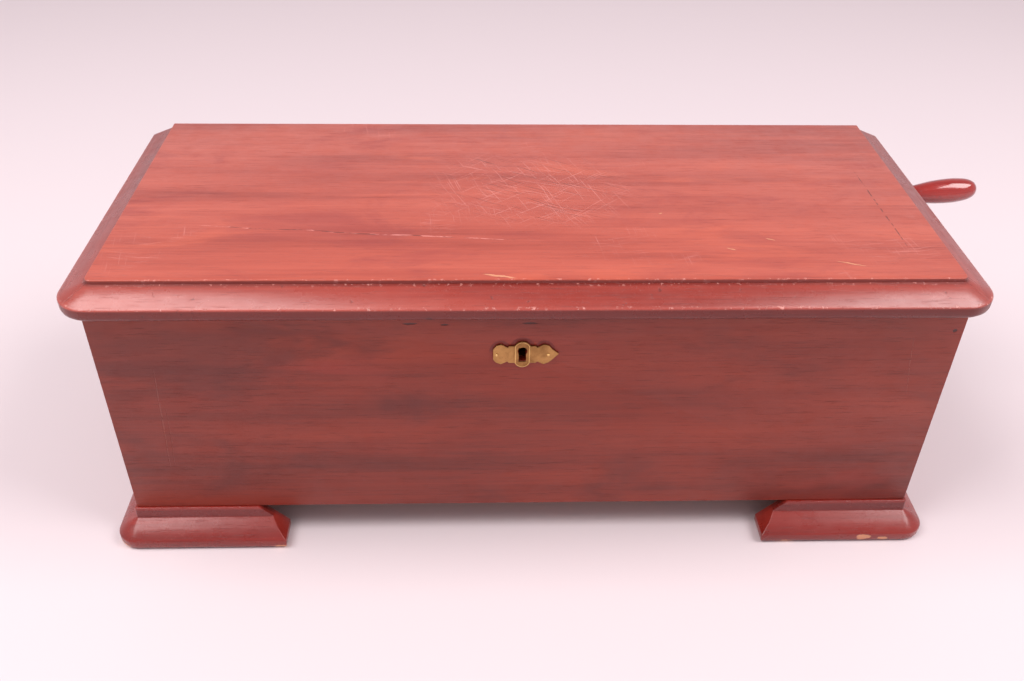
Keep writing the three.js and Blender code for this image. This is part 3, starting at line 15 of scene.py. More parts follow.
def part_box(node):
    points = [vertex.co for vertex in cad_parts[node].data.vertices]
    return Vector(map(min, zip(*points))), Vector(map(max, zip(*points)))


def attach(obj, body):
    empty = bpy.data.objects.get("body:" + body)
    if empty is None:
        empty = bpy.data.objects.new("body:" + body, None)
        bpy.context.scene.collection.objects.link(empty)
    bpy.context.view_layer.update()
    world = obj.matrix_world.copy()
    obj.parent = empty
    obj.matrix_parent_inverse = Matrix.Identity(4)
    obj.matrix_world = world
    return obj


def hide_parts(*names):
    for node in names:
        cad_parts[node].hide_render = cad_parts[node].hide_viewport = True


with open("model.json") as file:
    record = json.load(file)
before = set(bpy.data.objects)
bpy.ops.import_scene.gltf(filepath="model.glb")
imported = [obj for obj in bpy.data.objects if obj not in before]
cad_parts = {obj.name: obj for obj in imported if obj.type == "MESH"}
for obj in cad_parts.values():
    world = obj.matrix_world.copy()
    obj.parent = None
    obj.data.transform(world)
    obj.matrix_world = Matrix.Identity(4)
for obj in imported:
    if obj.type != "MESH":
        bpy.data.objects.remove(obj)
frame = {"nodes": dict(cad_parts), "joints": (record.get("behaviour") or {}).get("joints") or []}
bpy.context.view_layer.update()

MM = 0.001

front_low, front_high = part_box("front_panel")
lid_low, lid_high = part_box("lid_board")
CASE_MIDDLE = (front_low.x + front_high.x) / 2


def case_point(x, y, z):
    """A place in millimetres: across from the case's middle, back from its front, and up."""
    return Vector((CASE_MIDDLE + x * MM, front_low.y + y * MM, z * MM))


# The keyhole, in millimetres from the case's middle, and its plate's bosses and pins from the keyhole
KEYHOLE_ACROSS = -6
BOSS_RISE = 5.4
BOSS_RADIUS = 5.3
PLATE_PIN_ACROSS = 18.6


def keyhole_middle():
    """The keyhole, at the middle of its plate's height and in the plane of the case's front."""
    low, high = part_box("escutcheon")
    return case_point(KEYHOLE_ACROSS, 0, (low.z + high.z) / 2 / MM)


# ---- Camera and studio ----

CAMERA_PLACE = case_point(-37.1, -559.9, 609.6)
CAMERA_YAW = 2.40
CAMERA_PITCH = 36.56
CAMERA_ROLL = 1.16
CAMERA_LENS = 34.62
SENSOR_WIDTH = 36.0

FLOOR_SIZE = 14.0
FLOOR_COLOUR = (225, 215, 218)
LIGHTS = {
    "left_softbox": dict(place=(-1.15, -0.38, 1.95), size=1.4, power=36.5, tint=(1.0, 0.95, 0.95)),
    "right_softbox": dict(place=(1.45, -0.42, 1.95), size=1.3, power=36.5, tint=(1.0, 0.95, 0.95)),
}
LIGHT_TARGET = Vector((0, 0, 0.1))
SKY_COLOUR = (240, 225, 231)
HORIZON_STRENGTH = 0.90
ZENITH_STRENGTH = 0.42


def link(item):
    bpy.context.scene.collection.objects.link(item)
    return item


def place_camera():
    camera = bpy.data.cameras.new("camera")
    camera.lens = CAMERA_LENS
    camera.sensor_width = SENSOR_WIDTH
    camera.clip_start = 0.01
    holder = link(bpy.data.objects.new("camera", camera))
    turn = (
        Matrix.Rotation(-math.radians(CAMERA_YAW), 4, "Z")
        @ Matrix.Rotation(math.radians(90 - CAMERA_PITCH), 4, "X")
        @ Matrix.Rotation(math.radians(CAMERA_ROLL), 4, "Z")
    )
    holder.matrix_world = Matrix.Translation(CAMERA_PLACE) @ turn
    bpy.context.scene.camera = holder


def area_light(name, place, size, power, tint):
    light = bpy.data.lights.new(name, "AREA")
    light.shape = "SQUARE"
    light.size = size
    light.energy = power
    light.color = tint
    holder = link(bpy.data.objects.new(name, light))
    holder.location = place
    aim = LIGHT_TARGET - holder.location
    holder.rotation_euler = aim.to_track_quat("-Z", "Y").to_euler()


def linear(red, green, blue):
    """A display colour of 0 to 255 as the linear colour that a shader takes."""
    def one(value):
        share = value / 255
        if share <= 0.04045:
            return share / 12.92
        return ((share + 0.055) / 1.055) ** 2.4

    return (one(red), one(green), one(blue), 1.0)


# ---- Materials ----


class Finish:
    """A material with one Principled shader, and short names for the nodes that feed it."""

    def __init__(self, name, **sockets):
        self.material = bpy.data.materials.new(name)
        self.material.use_nodes = True
        self.tree = self.material.node_tree
        self.tree.nodes.clear()
        self.shader = self.tree.nodes.new("ShaderNodeBsdfPrincipled")
        output = self.tree.nodes.new("ShaderNodeOutputMaterial")
        self.tree.links.new(self.shader.outputs["BSDF"], output.inputs["Surface"])
        self.place = self.tree.nodes.new("ShaderNodeTexCoord").outputs["Object"]
        self.set(**sockets)

    def set(self, **sockets):
        """Feeds the shader's sockets, named with _ for each space."""
        for name, value in sockets.items():
            self.feed(self.shader.inputs[name.replace("_", " ")], value)

    def feed(self, socket, value):
        if isinstance(value, bpy.types.NodeSocket):
            self.tree.links.new(value, socket)
        else:
            socket.default_value = value

    def node(self, kind, inputs, output=0, **settings):
        made = self.tree.nodes.new(kind)
        for name, value in settings.items():
            setattr(made, name, value)
        for key, value in inputs.items():
            self.feed(made.inputs[key], value)
        return made.outputs[output]

    def calc(self, operation, a, b):
        return self.node("ShaderNodeMath", {0: a, 1: b}, operation=operation)

    def total(self, *values):
        result = values[0]
        for value in values[1:]:
            result = self.calc("ADD", result, value)
        return result

    def product(self, *values):
        result = values[0]
        for value in values[1:]:
            result = self.calc("MULTIPLY", result, value)
        return result

    def highest(self, *values):
        result = values[0]
        for value in values[1:]:
            result = self.calc("MAXIMUM", result, value)
        return result

    def axes(self, vector):
        made = self.tree.nodes.new("ShaderNodeSeparateXYZ")
        self.tree.links.new(vector, made.inputs[0])
        return made.outputs[0], made.outputs[1], made.outputs[2]

    def stretched(self, scales, vector=None):
        """The place, scaled on each axis: a low scale makes long features along that axis."""
        source = vector or self.place
        return self.node("ShaderNodeVectorMath", {0: source, 1: scales}, operation="MULTIPLY")

    def noise(self, scales, detail=3.0, roughness=0.55, distortion=0.0, vector=None):
        inputs = {
            "Vector": self.stretched(scales, vector), "Scale": 1.0, "Detail": detail,
            "Roughness": roughness, "Distortion": distortion,
        }
        return self.node("ShaderNodeTexNoise", inputs)

    def band(self, value, low, high, to_low=0.0, to_high=1.0):
        """Goes smoothly from to_low, where value is low, to to_high, where it is high."""
        inputs = {0: value, 1: low, 2: high, 3: to_low, 4: to_high}
        return self.node("ShaderNodeMapRange", inputs, interpolation_type="SMOOTHSTEP")

    def mix(self, factor, a, b, mode="MIX"):
        inputs = {0: factor, 6: a, 7: b}
        return self.node("ShaderNodeMix", inputs, 2, data_type="RGBA", blend_type=mode)

    def ramp(self, value, *stops):
        made = self.tree.nodes.new("ShaderNodeValToRGB")
        self.tree.links.new(value, made.inputs[0])
        elements = made.color_ramp.elements
        while len(elements) < len(stops):
            elements.new(0.5)
        for element, (position, colour) in zip(elements, stops):
            element.position = position
            element.color = colour
        return made.outputs[0]

    def bump(self, height, distance):
        inputs = {"Height": height, "Distance": distance, "Strength": 1.0}
        return self.node("ShaderNodeBump", inputs)

    def wobbled(self, amount, scale):
        """The place, pushed about by a noise: it makes straight marks wander."""
        source = self.stretched((scale, scale, scale))
        push = self.node("ShaderNodeTexNoise", {"Vector": source, "Scale": 1.0, "Detail": 2.0}, 1)
        middle = self.node("ShaderNodeVectorMath", {0: push, 1: (0.5, 0.5, 0.5)}, operation="SUBTRACT")
        inputs = {0: middle, 1: (amount, amount, amount), 2: self.place}
        return self.node("ShaderNodeVectorMath", inputs, operation="MULTIPLY_ADD")

    def mark(self, vector, centre, size, turn=(0, 0, 0)):
        """A soft spot: 1 in the middle of an ellipsoid of those half sizes, and 0 at its edge."""
        inputs = {"Vector": vector, "Location": centre, "Rotation": turn, "Scale": size}
        local = self.node("ShaderNodeMapping", inputs, vector_type="TEXTURE")
        return self.node("ShaderNodeTexGradient", {0: local}, 1, gradient_type="SPHERICAL")


def grain_scales(axis, across, along):
    return tuple(along if name == axis else across for name in "xyz")


def varnished(name, axis, tones, gloss=0.30, coat=0.35):
    """Old varnished wood: long soft streaks, fine grain lines, pores and a slightly uneven coat.

    Returns the finish, its colour, its roughness and its relief, to which wear can be added."""
    finish = Finish(name, Coat_Weight=coat, Coat_Roughness=0.14, Coat_IOR=1.5, IOR=1.5)
    streaks = finish.noise(grain_scales(axis, 34, 2.6), 5.0, 0.6, 0.4)
    figure = finish.noise(grain_scales(axis, 9, 2.2), 3.0, 0.5, 1.2)
    lines = finish.noise(grain_scales(axis, 420, 7), 3.0, 0.6, 0.3)
    pores = finish.noise(grain_scales(axis, 1500, 55), 2.0, 0.5)
    tone = finish.total(
        finish.product(streaks, 0.50), finish.product(figure, 0.32), finish.product(lines, 0.18),
    )
    colour = finish.ramp(tone, (0.34, tones[0]), (0.50, tones[1]), (0.66, tones[2]))
    pore_mask = finish.band(pores, 0.60, 0.70)
    colour = finish.mix(finish.product(pore_mask, 0.30), colour, tones[3])
    roughness = finish.total(
        finish.band(finish.noise((60, 60, 60), 4.0), 0.35, 0.75, gloss, gloss + 0.12),
        finish.product(pore_mask, 0.12),
    )
    ripple = finish.noise((70, 70, 70), 3.0)
    speckle = finish.noise((900, 900, 900), 2.0)
    relief = finish.total(
        finish.product(lines, 0.35), finish.product(pore_mask, -0.5),
        finish.product(ripple, 0.8), finish.product(speckle, 0.10),
    )
    return finish, colour, roughness, relief


def close(finish, colour, roughness, relief, distance=0.00012):
    finish.set(Base_Color=colour, Roughness=roughness, Normal=finish.bump(relief, distance))
    return finish.material


BARE_WOOD = linear(214, 150, 112)
PALE_CHIP = linear(226, 158, 146)
SCRATCH = linear(226, 150, 142)
GRIME = linear(52, 22, 22)
# The colour of the painted shade in the quirk at the top of the lid's moulding
QUIRK_PAINTED_SHADE = linear(84, 12, 10)

CASE_TONES = (linear(92, 24, 12), linear(130, 40, 20), linear(150, 52, 28), linear(60, 14, 10))
LID_TONES = (linear(140, 50, 38), linear(176, 79, 62), linear(196, 96, 76), linear(108, 34, 30))
FOOT_TONES = (linear(100, 24, 20), linear(134, 36, 28), linear(154, 48, 38), linear(62, 14, 14))
GRIP_TONES = (linear(120, 18, 14), linear(158, 34, 26), linear(182, 48, 36), linear(80, 12, 10))


def stroke(finish, vector, start, end, width):
    """A straight mark on the lid's top or the case's front, from one point to another."""
    along = end - start
    middle = (start + end) / 2
    if abs(along.y) > abs(along.z):
        turn = (0, 0, math.atan2(along.y, along.x))
        return finish.mark(vector, middle, (along.length / 2, width, 1.0), turn)
    turn = (0, -math.atan2(along.z, along.x), 0)
    return finish.mark(vector, middle, (along.length / 2, 1.0, width), turn)


def hairlines(finish, degrees, width):
    """Hairline scratches that all run about one way."""
    inputs = {"Vector": finish.wobbled(0.02, 9), "Rotation": (0, 0, math.radians(degrees))}
    turned_place = finish.node("ShaderNodeMapping", inputs, vector_type="POINT")
    lines = finish.noise((26, 900, 26), 2.0, 0.5, 0.0, turned_place)
    return finish.band(lines, 0.655 - width, 0.685)


# Wear on the lid's top: places are across from the case's middle and back from its front
LID_CRACK = ((273, 181), (276, 34))
LID_CRACK_WIDTH = 0.6
LONG_SCRATCH = ((-276, 82), (22, 56))
LONG_SCRATCH_WIDTH = 0.9
SCRATCHED_PATCH = (8, 142)
SCRATCHED_PATCH_HALF = (105, 75)
# Start, end and width of each bruise
BRUISES = (
    ((-36, 13), (-9, 7), 1.3), ((216, 29), (238, 21), 0.8), ((142, 47), (149, 43), 0.8),
    ((174, 60), (181, 57), 0.7), ((100, 96), (104, 99), 0.8),
)


def lid_top_wood():
    top = lid_high.z / MM
    finish, colour, roughness, relief = varnished("lid_top_varnish", "x", LID_TONES, 0.34, 0.25)
    finish.set(Coat_Roughness=0.30)
    _, y, z = finish.axes(finish.place)
    # Darker purplish smudges where the polish has bloomed.
    bloom = finish.noise((10, 20, 10), 5.0, 0.62, 0.8)
    smudge = finish.band(bloom, 0.50, 0.72)
    colour = finish.mix(finish.product(smudge, 0.45), colour, linear(142, 54, 54))
    warm = finish.band(finish.noise((5, 26, 5), 4.0, 0.6, 1.2), 0.54, 0.70)
    colour = finish.mix(finish.product(warm, 0.35), colour, linear(206, 98, 70))
    # The joint of the end batten shows as a fine crack in the veneer at the right.
    straight = finish.wobbled(0.0010, 40)
    crack_ends = [case_point(*end, top) for end in LID_CRACK]
    crack = finish.band(stroke(finish, straight, *crack_ends, LID_CRACK_WIDTH * MM), 0.05, 0.35)
    breaks = finish.band(finish.noise((170, 170, 170), 2.0), 0.44, 0.54)
    crack = finish.product(crack, breaks)
    # A long scratch, pale and dark by turns, and a patch of fine ones behind the middle.
    wander = finish.wobbled(0.006, 20)
    long_ends = [case_point(*end, top) for end in LONG_SCRATCH]
    gaps = finish.band(finish.noise((90, 420, 90), 3.0, 0.7), 0.42, 0.54)
    long_line = stroke(finish, wander, *long_ends, LONG_SCRATCH_WIDTH * MM)
    long_mark = finish.band(long_line, 0.02, 0.3)
    dashes = finish.band(finish.noise((60, 200, 60), 2.0), 0.48, 0.52)
    long_scratch = finish.product(long_mark, gaps, dashes)
    long_groove = finish.product(long_mark, gaps, finish.calc("SUBTRACT", 1.0, dashes))
    ragged = finish.wobbled(0.05, 14)
    half_width, half_depth = SCRATCHED_PATCH_HALF
    patch_size = (half_width * MM, half_depth * MM, 1.0)
    patch_spot = finish.mark(ragged, case_point(*SCRATCHED_PATCH, top), patch_size)
    patch = finish.band(patch_spot, 0.05, 0.5)
    rest = finish.band(finish.noise((14, 14, 14), 4.0, 0.6), 0.56, 0.70)
    fine = finish.highest(*[hairlines(finish, way, 0.03) for way in (22, -41, 67)])
    sparse = finish.highest(*[hairlines(finish, way, 0.02) for way in (8, -12, 84)])
    pale = finish.highest(
        finish.product(fine, patch, 0.75), finish.product(sparse, rest, 0.55), long_scratch,
    )
    dark_lines = finish.highest(finish.product(hairlines(finish, 31, 0.04), patch), long_groove)
    # Bruises near the front edge, down to bare wood.
    near = finish.wobbled(0.003, 220)
    dents = [
        stroke(finish, near, case_point(*start, top), case_point(*end, top), width * MM)
        for start, end, width in BRUISES
    ]
    dent = finish.band(finish.highest(*dents), 0.05, 0.35)
    # The front arris is worn pale in places, and below it the step is darkened with painted shade.
    chips = finish.band(finish.noise((210, 210, 210), 4.0, 0.7), 0.58, 0.64)
    arris = finish.product(finish.band(y, lid_low.y + 0.0016, lid_low.y + 0.0005), chips)
    step = finish.band(z, lid_high.z - 0.0006, lid_high.z - 0.0013)
    colour = finish.mix(finish.product(pale, 0.62), colour, SCRATCH)
    colour = finish.mix(finish.product(dark_lines, 0.5), colour, GRIME)
    colour = finish.mix(finish.product(crack, 0.6), colour, GRIME)
    colour = finish.mix(finish.product(dent, 0.85), colour, BARE_WOOD)
    colour = finish.mix(finish.product(arris, 0.6), colour, PALE_CHIP)
    # Painted shade on the step under the front arris.
    colour = finish.mix(finish.product(step, 0.8), colour, linear(104, 26, 22))
    roughness = finish.total(roughness, finish.product(smudge, 0.08), finish.product(pale, 0.25))
    relief = finish.total(
        relief, finish.product(pale, -0.9), finish.product(crack, -2.5), finish.product(dent, -2.0),
    )
    return close(finish, colour, roughness, relief)


MOULDING_TONES = (
    linear(124, 40, 32), linear(152, 57, 46), linear(172, 74, 60), linear(88, 22, 18),
)
MOULDING_NOSE = 10.6


def moulding_wood(name, axis):
    """The lid's edge moulding: its arrises are worn pale and chipped, and its nose is darkened with
    painted shade.
    """
    finish, colour, roughness, relief = varnished(name, axis, MOULDING_TONES, 0.26, 0.5)
    finish.set(Coat_Roughness=0.22)
    _, _, z = finish.axes(finish.place)
    moulding_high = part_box("lid_moulding_front")[1].z
    foot_of_bevel = lid_low.z + MOULDING_NOSE * MM
    # The nose faces forward and down: its colour is darkened with painted shade, and its coat is
    # thinner.
    nose = finish.band(z, foot_of_bevel - 0.0006, foot_of_bevel - 0.0024)
    colour = finish.mix(finish.product(nose, 0.78), colour, linear(92, 14, 6))
    finish.set(Coat_Weight=finish.band(nose, 0.0, 1.0, 0.45, 0.10))
    # Painted shade darkens the top of the moulding, in the quirk under the lid's step; the pale chips
    # on its arris are wear.
    upper = finish.band(z, moulding_high - 0.0013, moulding_high - 0.0003)
    colour = finish.mix(finish.product(upper, 0.55), colour, QUIRK_PAINTED_SHADE)
    chips = finish.band(finish.noise((260, 260, 260), 4.0, 0.7), 0.57, 0.64)
    lower_arris = finish.product(
        finish.band(z, foot_of_bevel - 0.0016, foot_of_bevel - 0.0007),
        finish.band(z, foot_of_bevel + 0.0007, foot_of_bevel - 0.0001),
    )
    colour = finish.mix(finish.product(lower_arris, 0.32), colour, linear(196, 96, 84))
    worn = finish.product(finish.highest(lower_arris, finish.product(upper, 0.7)), chips)
    colour = finish.mix(finish.product(worn, 0.75), colour, PALE_CHIP)
    dust = finish.band(finish.noise((1100, 1100, 1100), 2.0), 0.67, 0.74)
    colour = finish.mix(finish.product(dust, 0.28), colour, SCRATCH)
    knocks = finish.band(finish.noise((120, 120, 120), 4.0, 0.6), 0.66, 0.72)
    colour = finish.mix(finish.product(knocks, 0.4), colour, GRIME)
    relief = finish.total(relief, finish.product(worn, -1.5), finish.product(knocks, -1.0))
    return close(finish, colour, roughness, relief)


def plate_halo(finish):
    """1 in the line of old lacquer just above the keyhole plate, which follows its outline."""
    middle = keyhole_middle()
    # Across, up, half width and half height of what the outline is made of, in millimetres
    lobes = ((0, BOSS_RISE, 9.5, 9.5), (-15.5, 0.5, 9.0, 12.0), (15.5, 0.5, 9.0, 12.0))
    masks = []
    for across, up, half_width, half_height in lobes:
        centre = middle + Vector((across * MM, 0, up * MM))
        size = (half_width * MM, 1.0, half_height * MM)
        masks.append(finish.mark(finish.place, centre, size))
    _, _, z = finish.axes(finish.place)
    outline = finish.band(finish.highest(*masks), 0.0, 0.12)
    return finish.product(outline, finish.band(z, middle.z, middle.z + 0.004))


# Wear on the front: places are across from the case's middle and up from the floor
# Start, end and width of each crack
FRONT_CRACKS = (
    ((-269, 180), (-276, 66), 0.7), ((-267, 140), (-272, 70), 0.4), ((274, 202), (284, 136), 0.6),
)
# Across, up, half width and half height of the nail hole and of the nicks under the lid
FRONT_SPOTS = ((303, 201, 2.0, 2.0), (-85, 209, 7.0, 1.2), (-61, 208, 4.0, 1.0), (-1, 209, 7.0, 1.1))


def front_wood():
    finish, colour, roughness, relief = varnished("front_varnish", "x", CASE_TONES, 0.40, 0.10)
    clouds = finish.noise((6, 7, 14), 4.0, 0.6, 0.6)
    cloud = finish.band(clouds, 0.50, 0.70)
    colour = finish.mix(finish.product(cloud, 0.5), colour, linear(74, 18, 16))
    blush = finish.band(finish.noise((4, 4, 11), 3.0, 0.6, 0.8), 0.55, 0.72)
    colour = finish.mix(finish.product(blush, 0.4), colour, linear(158, 52, 40))
    straight = finish.wobbled(0.0014, 50)
    cracks = []
    for start, end, width in FRONT_CRACKS:
        ends = [case_point(across, 0, up) for across, up in (start, end)]
        cracks.append(stroke(finish, straight, *ends, width * MM))
    breaks = finish.band(finish.noise((220, 220, 220), 3.0), 0.38, 0.5)
    crack = finish.product(finish.band(finish.highest(*cracks), 0.05, 0.4), breaks)
    colour = finish.mix(finish.product(crack, 0.24), colour, linear(168, 100, 86))
    near = finish.wobbled(0.002, 300)
    nicks = [
        finish.mark(near, case_point(across, 0, up), (half_width * MM, 1.0, half_height * MM))
        for across, up, half_width, half_height in FRONT_SPOTS
    ]
    dark = finish.band(finish.highest(*nicks), 0.1, 0.5)
    colour = finish.mix(finish.product(dark, 0.85), colour, GRIME)
    colour = finish.mix(finish.product(plate_halo(finish), 0.6), colour, linear(92, 10, 8))
    relief = finish.total(relief, finish.product(crack, -2.0), finish.product(dark, -3.0))
    return close(finish, colour, roughness, relief)


def case_wood(name, axis):
    finish, colour, roughness, relief = varnished(name, axis, CASE_TONES, 0.36, 0.2)
    scuffs = finish.band(finish.noise((60, 60, 190), 4.0, 0.65), 0.64, 0.72)
    colour = finish.mix(finish.product(scuffs, 0.3), colour, linear(60, 16, 14))
    return close(finish, colour, roughness, relief)


def grip_varnish():
    finish, colour, roughness, relief = varnished("grip_varnish", "x", GRIP_TONES, 0.16, 1.0)
    finish.set(Coat_Roughness=0.05)
    worn = finish.band(finish.noise((130, 130, 130), 4.0, 0.6), 0.60, 0.72)
    colour = finish.mix(finish.product(worn, 0.3), colour, linear(84, 14, 12))
    return close(finish, colour, roughness, relief, 0.00005)


def foot_wood(name, axis, chips):
    """The foot's moulding: painted shade in its quirk, pale flecks, and chips down to bare wood."""
    finish, colour, roughness, relief = varnished(name, axis, FOOT_TONES, 0.26)
    foot_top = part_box("foot_front_left")[1].z
    _, _, z = finish.axes(finish.place)
    # Painted shade darkens the quirk's vertical face.
    quirk_shade = finish.product(
        finish.band(z, foot_top - 0.0110, foot_top - 0.0096),
        finish.band(z, foot_top - 0.0010, foot_top - 0.0035),
    )
    colour = finish.mix(finish.product(quirk_shade, 0.45), colour, linear(60, 8, 8))
    flecks = finish.band(finish.noise((420, 420, 420), 4.0, 0.7), 0.62, 0.70)
    colour = finish.mix(finish.product(flecks, 0.3), colour, linear(190, 104, 94))
    near = finish.wobbled(0.006, 160)
    spots = [finish.mark(near, centre, size) for centre, size in chips]
    bare = finish.band(finish.highest(*spots), 0.15, 0.35)
    colour = finish.mix(finish.product(bare, 0.9), colour, BARE_WOOD)
    roughness = finish.total(roughness, finish.product(bare, 0.3))
    relief = finish.total(relief, finish.product(bare, -3.0))
    return close(finish, colour, roughness, relief)


def plain_wood(name, axis, tones, gloss):
    """Unpolished or thinly finished board inside and under the case."""
    finish = Finish(name, IOR=1.45)
    streaks = finish.noise(grain_scales(axis, 60, 3), 5.0, 0.6, 0.6)
    lines = finish.noise(grain_scales(axis, 700, 12), 3.0, 0.6)
    tone = finish.total(finish.product(streaks, 0.6), finish.product(lines, 0.4))
    colour = finish.ramp(tone, (0.35, tones[0]), (0.5, tones[1]), (0.65, tones[2]))
    dirt = finish.band(finish.noise((14, 14, 14), 5.0, 0.65), 0.48, 0.72)
    colour = finish.mix(finish.product(dirt, 0.35), colour, tones[0])
    roughness = finish.band(streaks, 0.3, 0.7, gloss, gloss + 0.15)
    return close(finish, colour, roughness, lines, 0.00015)


def old_metal(name, clean, tarnish, roughness, spots=0.5, brushed="x"):
    """Lacquered or bare metal with cloudy tarnish, fine brushing and dark specks."""
    finish = Finish(name, Metallic=1.0, IOR=1.5)
    cloud = finish.noise((46, 46, 46), 5.0, 0.65, 0.4)
    brush = finish.noise(grain_scales(brushed, 2400, 40), 2.0, 0.5)
    speck = finish.band(finish.noise((520, 520, 520), 3.0, 0.7), 0.60, 0.72)
    mixed = finish.band(cloud, 0.38, 0.66)
    colour = finish.mix(finish.product(mixed, spots), clean, tarnish)
    colour = finish.mix(finish.product(speck, 0.45), colour, tarnish)
    rough = finish.total(
        finish.band(cloud, 0.35, 0.7, roughness, roughness + 0.18),
        finish.product(speck, 0.15), finish.product(brush, 0.06),
    )
    relief = finish.total(finish.product(brush, 0.25), finish.product(speck, -0.8))
    return close(finish, colour, rough, relief, 0.00006)


def bronzed_iron(name):
    """Cast iron under worn bronze paint, with a pebbled skin."""
    finish = Finish(name, Metallic=0.75, IOR=1.5)
    skin = finish.noise((420, 420, 420), 4.0, 0.6)
    wear = finish.band(finish.noise((38, 38, 38), 5.0, 0.65), 0.54, 0.68)
    colour = finish.ramp(skin, (0.35, linear(92, 66, 34)), (0.65, linear(140, 106, 56)))
    colour = finish.mix(finish.product(wear, 0.6), colour, linear(70, 58, 44))
    rough = finish.band(skin, 0.3, 0.7, 0.42, 0.62)
    return close(finish, colour, rough, skin, 0.0003)


def window_glass(name):
    """Thin old glass with faint ripples and a little dust."""
    finish = Finish(name, Transmission_Weight=1.0, IOR=1.46, Metallic=0.0)
    dust = finish.band(finish.noise((700, 700, 700), 3.0, 0.7), 0.62, 0.75)
    ripple = finish.noise((9, 16, 9), 2.0)
    colour = finish.mix(finish.product(dust, 0.4), linear(240, 247, 244), linear(200, 204, 198))
    rough = finish.product(dust, 0.3)
    return close(finish, colour, rough, ripple, 0.0004)


# ---- Which node has which finish ----

# Centre and half sizes of each chip, in metres
foot_low, foot_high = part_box("foot_front_left")
right_foot_low, right_foot_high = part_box("foot_front_right")
LEFT_CHIPS = (
    ((foot_low.x + 0.004, foot_low.y + 0.004, 0.002), (0.012, 0.012, 0.0035)),
    ((foot_high.x - 0.002, foot_low.y + 0.001, 0.002), (0.009, 0.006, 0.0035)),
    ((foot_low.x + 0.001, foot_high.y - 0.02, 0.001), (0.01, 0.02, 0.003)),
)
RIGHT_CHIPS = (
    ((right_foot_low.x + 0.084, right_foot_low.y, 0.006), (0.008, 0.005, 0.004)),
    ((right_foot_low.x + 0.100, right_foot_low.y, 0.004), (0.005, 0.005, 0.003)),
    ((right_foot_low.x + 0.020, right_foot_low.y, 0.001), (0.012, 0.005, 0.002)),
)
BACK_CHIPS = (
    ((foot_low.x + 0.002, 0.10, 0.001), (0.006, 0.02, 0.003)),
    ((right_foot_high.x - 0.002, 0.06, 0.001), (0.006, 0.015, 0.003)),
)

PLAIN_TONES = (linear(112, 66, 38), linear(160, 104, 62), linear(190, 134, 86))
DARK_TONES = (linear(24, 12, 9), linear(44, 22, 16), linear(62, 34, 24))

bright_brass = old_metal("bright_brass", linear(232, 196, 130), linear(176, 132, 80), 0.24, 0.4)
brass = old_metal("aged_brass", linear(214, 168, 96), linear(120, 76, 40), 0.30)
plate_brass = old_metal("keyhole_plate_brass", linear(190, 146, 92), linear(134, 94, 56), 0.42, 0.7)
cylinder_brass = old_metal("cylinder_brass", linear(226, 182, 104), linear(170, 118, 62), 0.26, 0.4)
steel = old_metal("worn_steel", linear(196, 196, 198), linear(112, 96, 84), 0.30, 0.45)
comb_steel = old_metal("comb_steel", linear(214, 214, 216), linear(150, 140, 130), 0.22, 0.25, "y")
blued = old_metal("blued_steel", linear(58, 72, 104), linear(44, 36, 40), 0.28, 0.5)
iron = bronzed_iron("bronzed_cast_iron")
glass = window_glass("inner_lid_glass")
inner = plain_wood("inner_wood", "x", DARK_TONES, 0.42)
partition_wood = plain_wood("partition_wood", "y", DARK_TONES, 0.42)
bottom = plain_wood("bottom_wood", "x", PLAIN_TONES, 0.62)
grip_wood = grip_varnish()

FINISHES = {
    "lid_board": lid_top_wood(),
    "lid_moulding_front": moulding_wood("front_moulding_varnish", "x"),
    "front_panel": front_wood(),
    "back_panel": case_wood("back_varnish", "x"),
    "foot_front_left": foot_wood("left_foot_varnish", "x", LEFT_CHIPS),
    "foot_front_right": foot_wood("right_foot_varnish", "x", RIGHT_CHIPS),
    "bottom_board": bottom,
    "inner_lid_frame": inner,
    "inner_lid_glass": glass,
    "escutcheon": plate_brass,
    "pinned_cylinder": cylinder_brass,
    "comb": comb_steel,
}
side_moulding = moulding_wood("side_moulding_varnish", "y")
side_panel = case_wood("side_varnish", "y")
back_foot = foot_wood("back_foot_varnish", "y", BACK_CHIPS)
for side in ("left", "right"):
    FINISHES[f"lid_moulding_{side}"] = side_moulding
    FINISHES[f"{side}_panel"] = side_panel
    FINISHES[f"foot_back_{side}"] = back_foot
    FINISHES[f"partition_{side}"] = partition_wood
BY_SLOT = {
    "brass": brass, "steel": steel, "blued_steel": blued, "cast_iron": iron, "case_wood": grip_wood,
}
for name, node in frame["nodes"].items():
    slot = node.material_slots[0]
    finish = FINISHES.get(name) or BY_SLOT[slot.material.name]
    slot.link = "OBJECT"
    slot.material = finish


# ---- Rounded edges and smooth shading on the CAD nodes ----


WELD_DISTANCE = 2e-6
SMOOTH_BELOW_DEGREES = 32
ARRIS_ABOVE_DEGREES = 33
FLAT_WITHIN_DEGREES = 0.6


